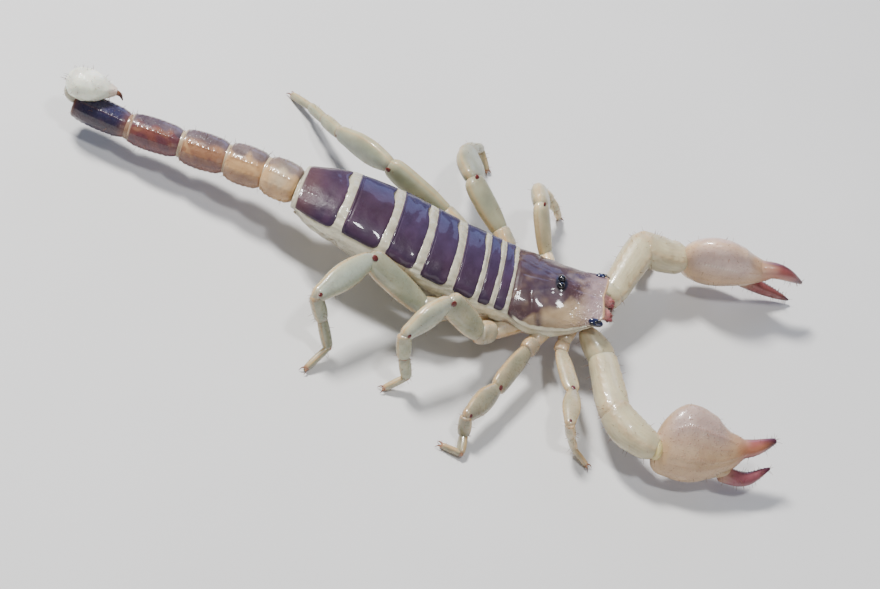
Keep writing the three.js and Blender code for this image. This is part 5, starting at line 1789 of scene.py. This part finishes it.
def shell_material(name, rough, mottle, speck, wart, bump, glow, coat, gloss):
    """Hard shell: the piece's own colour, clouded and speckled, over fine pores and warts.

    The attribute tint is the colour, and grain says where the warts stand.
    """
    material, tree, shader, coords = new_material(name)
    tint = add_node(tree, "ShaderNodeAttribute", attribute_name="tint").outputs["Color"]
    grain = add_node(tree, "ShaderNodeAttribute", attribute_name="grain").outputs["Fac"]
    cloud = ranged(tree, noise_of(tree, coords, 2.2, 4.0), 0.35, 0.65, 0.0, 1.0)
    darker = mixed(tree, 1.0, tint, (0.72, 0.66, 0.66, 1.0), "MULTIPLY")
    lighter = mixed(tree, 1.0, tint, (1.12, 1.12, 1.1, 1.0), "MULTIPLY")
    base = mixed(tree, mottle * 2, tint, mixed(tree, cloud, darker, lighter))
    cells = add_node(tree, "ShaderNodeTexVoronoi", Scale=1000.0 / WART_GAP, Randomness=1.0)
    tree.links.new(coords, cells.inputs["Vector"])
    dot = ranged(tree, cells.outputs["Distance"], 0.12, 0.34, 1.0, 0.0)
    chosen = ranged(tree, noise_of(tree, coords, 0.9, 2.0), 0.5, 0.58, 0.0, 1.0)
    dots = times(tree, times(tree, dot, chosen), grain)
    dark = mixed(tree, 1.0, base, (0.5, 0.3, 0.26, 1.0), "MULTIPLY")
    spotted = mixed(tree, times(tree, dots, speck), base, dark)
    tree.links.new(spotted, shader.inputs["Base Color"])
    worn = ranged(tree, noise_of(tree, coords, 0.6, 5.0, 0.65), 0.3, 0.7, rough * 0.75, rough * 1.35)
    tree.links.new(worn, shader.inputs["Roughness"])
    pores = times(tree, noise_of(tree, coords, 0.16, 3.0), 0.35)
    waves = times(tree, noise_of(tree, coords, 0.95, 2.0), 0.8)
    warts = times(tree, times(tree, dot, grain), wart * 4)
    height = combined(tree, "ADD", combined(tree, "ADD", pores, waves), warts)
    add_relief(tree, shader, height, bump, RELIEF_DEPTH)
    shader.inputs["Specular IOR Level"].default_value = gloss
    if glow:
        shader.inputs["Subsurface Weight"].default_value = glow
        shader.inputs["Subsurface Radius"].default_value = (1, 0.6, 0.4)
        shader.inputs["Subsurface Scale"].default_value = GLOW_DEPTH
    if coat:
        shader.inputs["Coat Weight"].default_value = coat
        shader.inputs["Coat Roughness"].default_value = 0.06
    return material


# roughness, mottling, specks, warts, relief, glow, clear coat and gloss of each finish
MATERIALS = {
    "plate": (0.36, 0.3, 0.5, 0.2, 0.45, 0.0, 0.55, 0.2),
    "carapace": (0.36, 0.25, 0.5, 0.45, 0.4, 0.06, 0.5, 0.25),
    "skin": (0.28, 0.25, 0.2, 0.15, 0.8, 0.2, 0.6, 0.5),
    "leg": (0.28, 0.22, 0.4, 0.2, 0.12, 0.45, 0.7, 0.5),
    "leg_far": (0.36, 0.22, 0.4, 0.2, 0.18, 0.45, 0.3, 0.3),
    "arm": (0.32, 0.18, 0.4, 0.3, 0.4, 0.3, 0.5, 0.5),
    "hand": (0.34, 0.2, 0.6, 0.4, 0.4, 0.2, 0.5, 0.5),
    "finger": (0.3, 0.2, 0.4, 0.15, 0.08, 0.0, 0.4, 0.4),
    "eye": (0.06, 0.15, 0.0, 0.0, 0.01, 0.0, 1.0, 0.5),
    "jaw": (0.3, 0.25, 0.4, 0.3, 0.25, 0.2, 0.0, 0.5),
    "tail": (0.28, 0.25, 0.4, 0.3, 0.35, 0.02, 0.5, 0.3),
    "bulb": (0.28, 0.2, 0.3, 0.3, 0.3, 0.25, 0.6, 0.5),
    "hair": (0.45, 0.2, 0.0, 0.0, 0.1, 0.0, 0.0, 0.5),
}


def finish(name):
    """The named finish, made the first time it is asked for."""
    found = bpy.data.materials.get(f"scorpion_{name}")
    if found:
        return found
    *surface, glow, coat, gloss = MATERIALS[name]
    glow = glow * size_of("glow") / USUAL_GLOW
    return shell_material(f"scorpion_{name}", *surface, glow, coat, gloss)


# ---- stage


LENS, SENSOR = 105.0, 36.0  # in millimetres
DISTANCE = 0.385
AZIMUTH, ELEVATION, ROLL = -13.0, 50.0, 29.5
AIM = (0.0031487, -0.0053328, 0.0054997)  # the point at the middle of the view, in metres
LAMP_AIM = (0.0, 0.0, 0.008)
FLOOR_RADIUS = 1.6

# name, direction, distance, size, power and colour of each lamp
LAMPS = (
    ("key", (-0.55, 0.35, 0.85), 0.6, 0.1, 6.8, (1.0, 0.985, 0.96)),
    ("overhead", (0.1, -0.1, 1.0), 0.55, 0.06, 1.2, (0.98, 0.99, 1.0)),
    ("sky", (0.15, 1.0, 0.5), 0.7, 0.35, 0.95, (0.38, 0.52, 1.0)),
    ("fill", (0.5, -1.0, 0.45), 0.8, 0.5, 1.2, (1.0, 0.97, 0.94)),
)


def floor_material():
    """Pale matt floor with a faint cloud and fine grain."""
    material, tree, shader, coords = new_material("pale_floor")
    cloud = ranged(tree, noise_of(tree, coords, 60.0, 3.0), 0.3, 0.7, 0.0, 1.0)
    shade = mixed(tree, cloud, (0.66, 0.655, 0.65, 1), (0.7, 0.695, 0.69, 1))
    tree.links.new(shade, shader.inputs["Base Color"])
    add_relief(tree, shader, noise_of(tree, coords, 0.8, 2.0), 0.08, 0.0001)
    shader.inputs["Roughness"].default_value = 0.8
    shader.inputs["Specular IOR Level"].default_value = 0.2
    return material


def build_floor(scene):
    """A round floor under the animal."""
    angle = around(96)
    rim = np.stack([np.cos(angle), np.sin(angle), 0 * angle], 1) * FLOOR_RADIUS
    mesh = bpy.data.meshes.new("floor")
    mesh.from_pydata(rim.tolist(), [], [list(range(len(rim)))])
    floor = bpy.data.objects.new("floor", mesh)
    scene.collection.objects.link(floor)
    mesh.materials.append(floor_material())


def build_camera(scene):
    """The camera: it looks from the right and above, turned about its own axis by ROLL."""
    turn, climb, roll = np.radians([AZIMUTH, ELEVATION, ROLL])
    back = np.array([np.sin(turn) * np.cos(climb), -np.cos(turn) * np.cos(climb), np.sin(climb)])
    across = np.array([np.cos(turn), np.sin(turn), 0.0])
    over = np.cross(back, across)
    right = np.cos(roll) * across + np.sin(roll) * over
    top = -np.sin(roll) * across + np.cos(roll) * over
    camera = bpy.data.objects.new("camera", bpy.data.cameras.new("camera"))
    camera.data.lens = LENS
    camera.data.sensor_width = SENSOR
    camera.data.clip_start = 0.01
    place = np.array(AIM) + back * DISTANCE
    camera.matrix_world = Matrix([*np.column_stack([right, top, back, place]).tolist(), [0, 0, 0, 1]])
    scene.collection.objects.link(camera)
    scene.camera = camera


def soft_light(scene, name, direction, distance, size, power, shade):
    """A large square lamp that looks at the animal from a direction."""
    lamp = bpy.data.lights.new(name, "AREA")
    lamp.shape = "SQUARE"
    lamp.size = size
    lamp.energy = power
    lamp.color = shade
    holder = bpy.data.objects.new(name, lamp)
    way = Vector(direction).normalized()
    holder.location = Vector(LAMP_AIM) + way * distance
    holder.rotation_euler = way.to_track_quat("Z", "Y").to_euler()
    scene.collection.objects.link(holder)


def build_stage(scene):
    """Floor, camera, soft lamps and pale surroundings."""
    build_floor(scene)
    build_camera(scene)
    for lamp in LAMPS:
        soft_light(scene, *lamp)
    world = scene.world or bpy.data.worlds.new("World")
    scene.world = world
    world.use_nodes = True
    surroundings = world.node_tree.nodes["Background"]
    surroundings.inputs["Color"].default_value = (0.8, 0.84, 0.9, 1)
    surroundings.inputs["Strength"].default_value = 0.25


# ---- steps


class Step:
    """What the steps share: they can be undone, and stop the script if they fail."""

    bl_options = {"REGISTER", "UNDO"}


class SCORPION_OT_skin(Step, bpy.types.Operator):
    """Make the soft skin of the trunk"""

    bl_idname = "scorpion.skin"
    bl_label = "Skin"

    def execute(self, context):
        build_skin(finish("skin"))
        return {"FINISHED"}


class SCORPION_OT_back(Step, bpy.types.Operator):
    """Make the seven back plates"""

    bl_idname = "scorpion.back"
    bl_label = "Back plates"

    def execute(self, context):
        for index in range(len(BACK_PLATES)):
            build_back_plate(index, finish("plate"))
        return {"FINISHED"}


class SCORPION_OT_carapace(Step, bpy.types.Operator):
    """Make the carapace and the eyes"""

    bl_idname = "scorpion.carapace"
    bl_label = "Carapace and eyes"

    def execute(self, context):
        build_carapace(finish("carapace"))
        build_eyes(finish("eye"))
        return {"FINISHED"}


class SCORPION_OT_jaws(Step, bpy.types.Operator):
    """Make both jaws"""

    bl_idname = "scorpion.jaws"
    bl_label = "Jaws"

    def execute(self, context):
        for name in SIDES:
            build_jaw(name, finish("jaw"))
        return {"FINISHED"}


class SCORPION_OT_legs(Step, bpy.types.Operator):
    """Make the eight legs"""

    bl_idname = "scorpion.legs"
    bl_label = "Legs"

    def execute(self, context):
        for name in SIDES:
            for pair in range(len(LEG_PAIRS)):
                build_leg(name, pair, finish("leg" if name == "right" else "leg_far"), finish("finger"))
        return {"FINISHED"}


class SCORPION_OT_arms(Step, bpy.types.Operator):
    """Make both pincers"""

    bl_idname = "scorpion.arms"
    bl_label = "Pincers"

    def execute(self, context):
        for name in SIDES:
            build_arm(name, finish("arm"), finish("hand"), finish("finger"))
        return {"FINISHED"}


class SCORPION_OT_tail(Step, bpy.types.Operator):
    """Make the tail's rings, the bulb and the sting"""

    bl_idname = "scorpion.tail"
    bl_label = "Tail"

    def execute(self, context):
        for index in range(len(TAIL_RINGS)):
            build_tail_ring(index, finish("tail"))
        build_bulb(finish("bulb"), finish("finger"))
        return {"FINISHED"}


class SCORPION_OT_underside(Step, bpy.types.Operator):
    """Make the belly plates, the leg bases and the combs"""

    bl_idname = "scorpion.underside"
    bl_label = "Underside"

    def execute(self, context):
        build_belly_plates(finish("arm"))
        build_breast(finish("leg"))
        for name in SIDES:
            build_comb(name, finish("skin"))
        return {"FINISHED"}


class SCORPION_OT_hairs(Step, bpy.types.Operator):
    """Make the short stiff hairs of the limbs, tail and jaws"""

    bl_idname = "scorpion.hairs"
    bl_label = "Hairs"

    def execute(self, context):
        for k, (name, slot, ends, count, share) in enumerate(HAIR_GROUPS):
            pieces = pieces_named(*ends)
            if not pieces:
                raise RuntimeError(f"nothing to grow {name} on: make the pieces first")
            length = size_of("hair_length") * share
            build_hairs(name, pieces, count, length, finish("hair"), 900 + 50 * k)
        return {"FINISHED"}


class SCORPION_OT_stage(Step, bpy.types.Operator):
    """Make the floor, the lights and the camera"""

    bl_idname = "scorpion.stage"
    bl_label = "Stage"

    def execute(self, context):
        build_stage(context.scene)
        return {"FINISHED"}


# ---- panel and run

STEPS = (
    SCORPION_OT_skin, SCORPION_OT_back, SCORPION_OT_carapace, SCORPION_OT_jaws, SCORPION_OT_legs,
    SCORPION_OT_arms, SCORPION_OT_tail, SCORPION_OT_underside, SCORPION_OT_hairs, SCORPION_OT_stage,
)


class SCORPION_PT_panel(bpy.types.Panel):
    """Lists the sizes, the colours and the steps in their order"""

    bl_label = "Burrowing scorpion"
    bl_idname = "SCORPION_PT_panel"
    bl_space_type = "VIEW_3D"
    bl_region_type = "UI"
    bl_category = "Scorpion"

    def draw(self, context):
        layout = self.layout
        for group in (context.scene.scorpion_sizes, context.scene.scorpion_colours):
            box = layout.box()
            for name in group.bl_rna.properties.keys():
                if name not in ("rna_type", "name"):
                    box.prop(group, name)
        for step_class in STEPS:
            layout.operator(step_class.bl_idname)


CLASSES = (ScorpionColours, ScorpionSizes, *STEPS, SCORPION_PT_panel)


def register():
    """Registers the classes and adds the settings to the scene."""
    for item in CLASSES:
        bpy.utils.register_class(item)
    bpy.types.Scene.scorpion_colours = PointerProperty(type=ScorpionColours)
    bpy.types.Scene.scorpion_sizes = PointerProperty(type=ScorpionSizes)


def unregister():
    """Takes the settings and the classes away again."""
    del bpy.types.Scene.scorpion_sizes
    del bpy.types.Scene.scorpion_colours
    for item in reversed(CLASSES):
        bpy.utils.unregister_class(item)


def main():
    """Runs every step in order."""
    register()
    for item in STEPS:
        group, name = item.bl_idname.split(".")
        getattr(getattr(bpy.ops, group), name)()


if __name__ == "__main__":
    main()
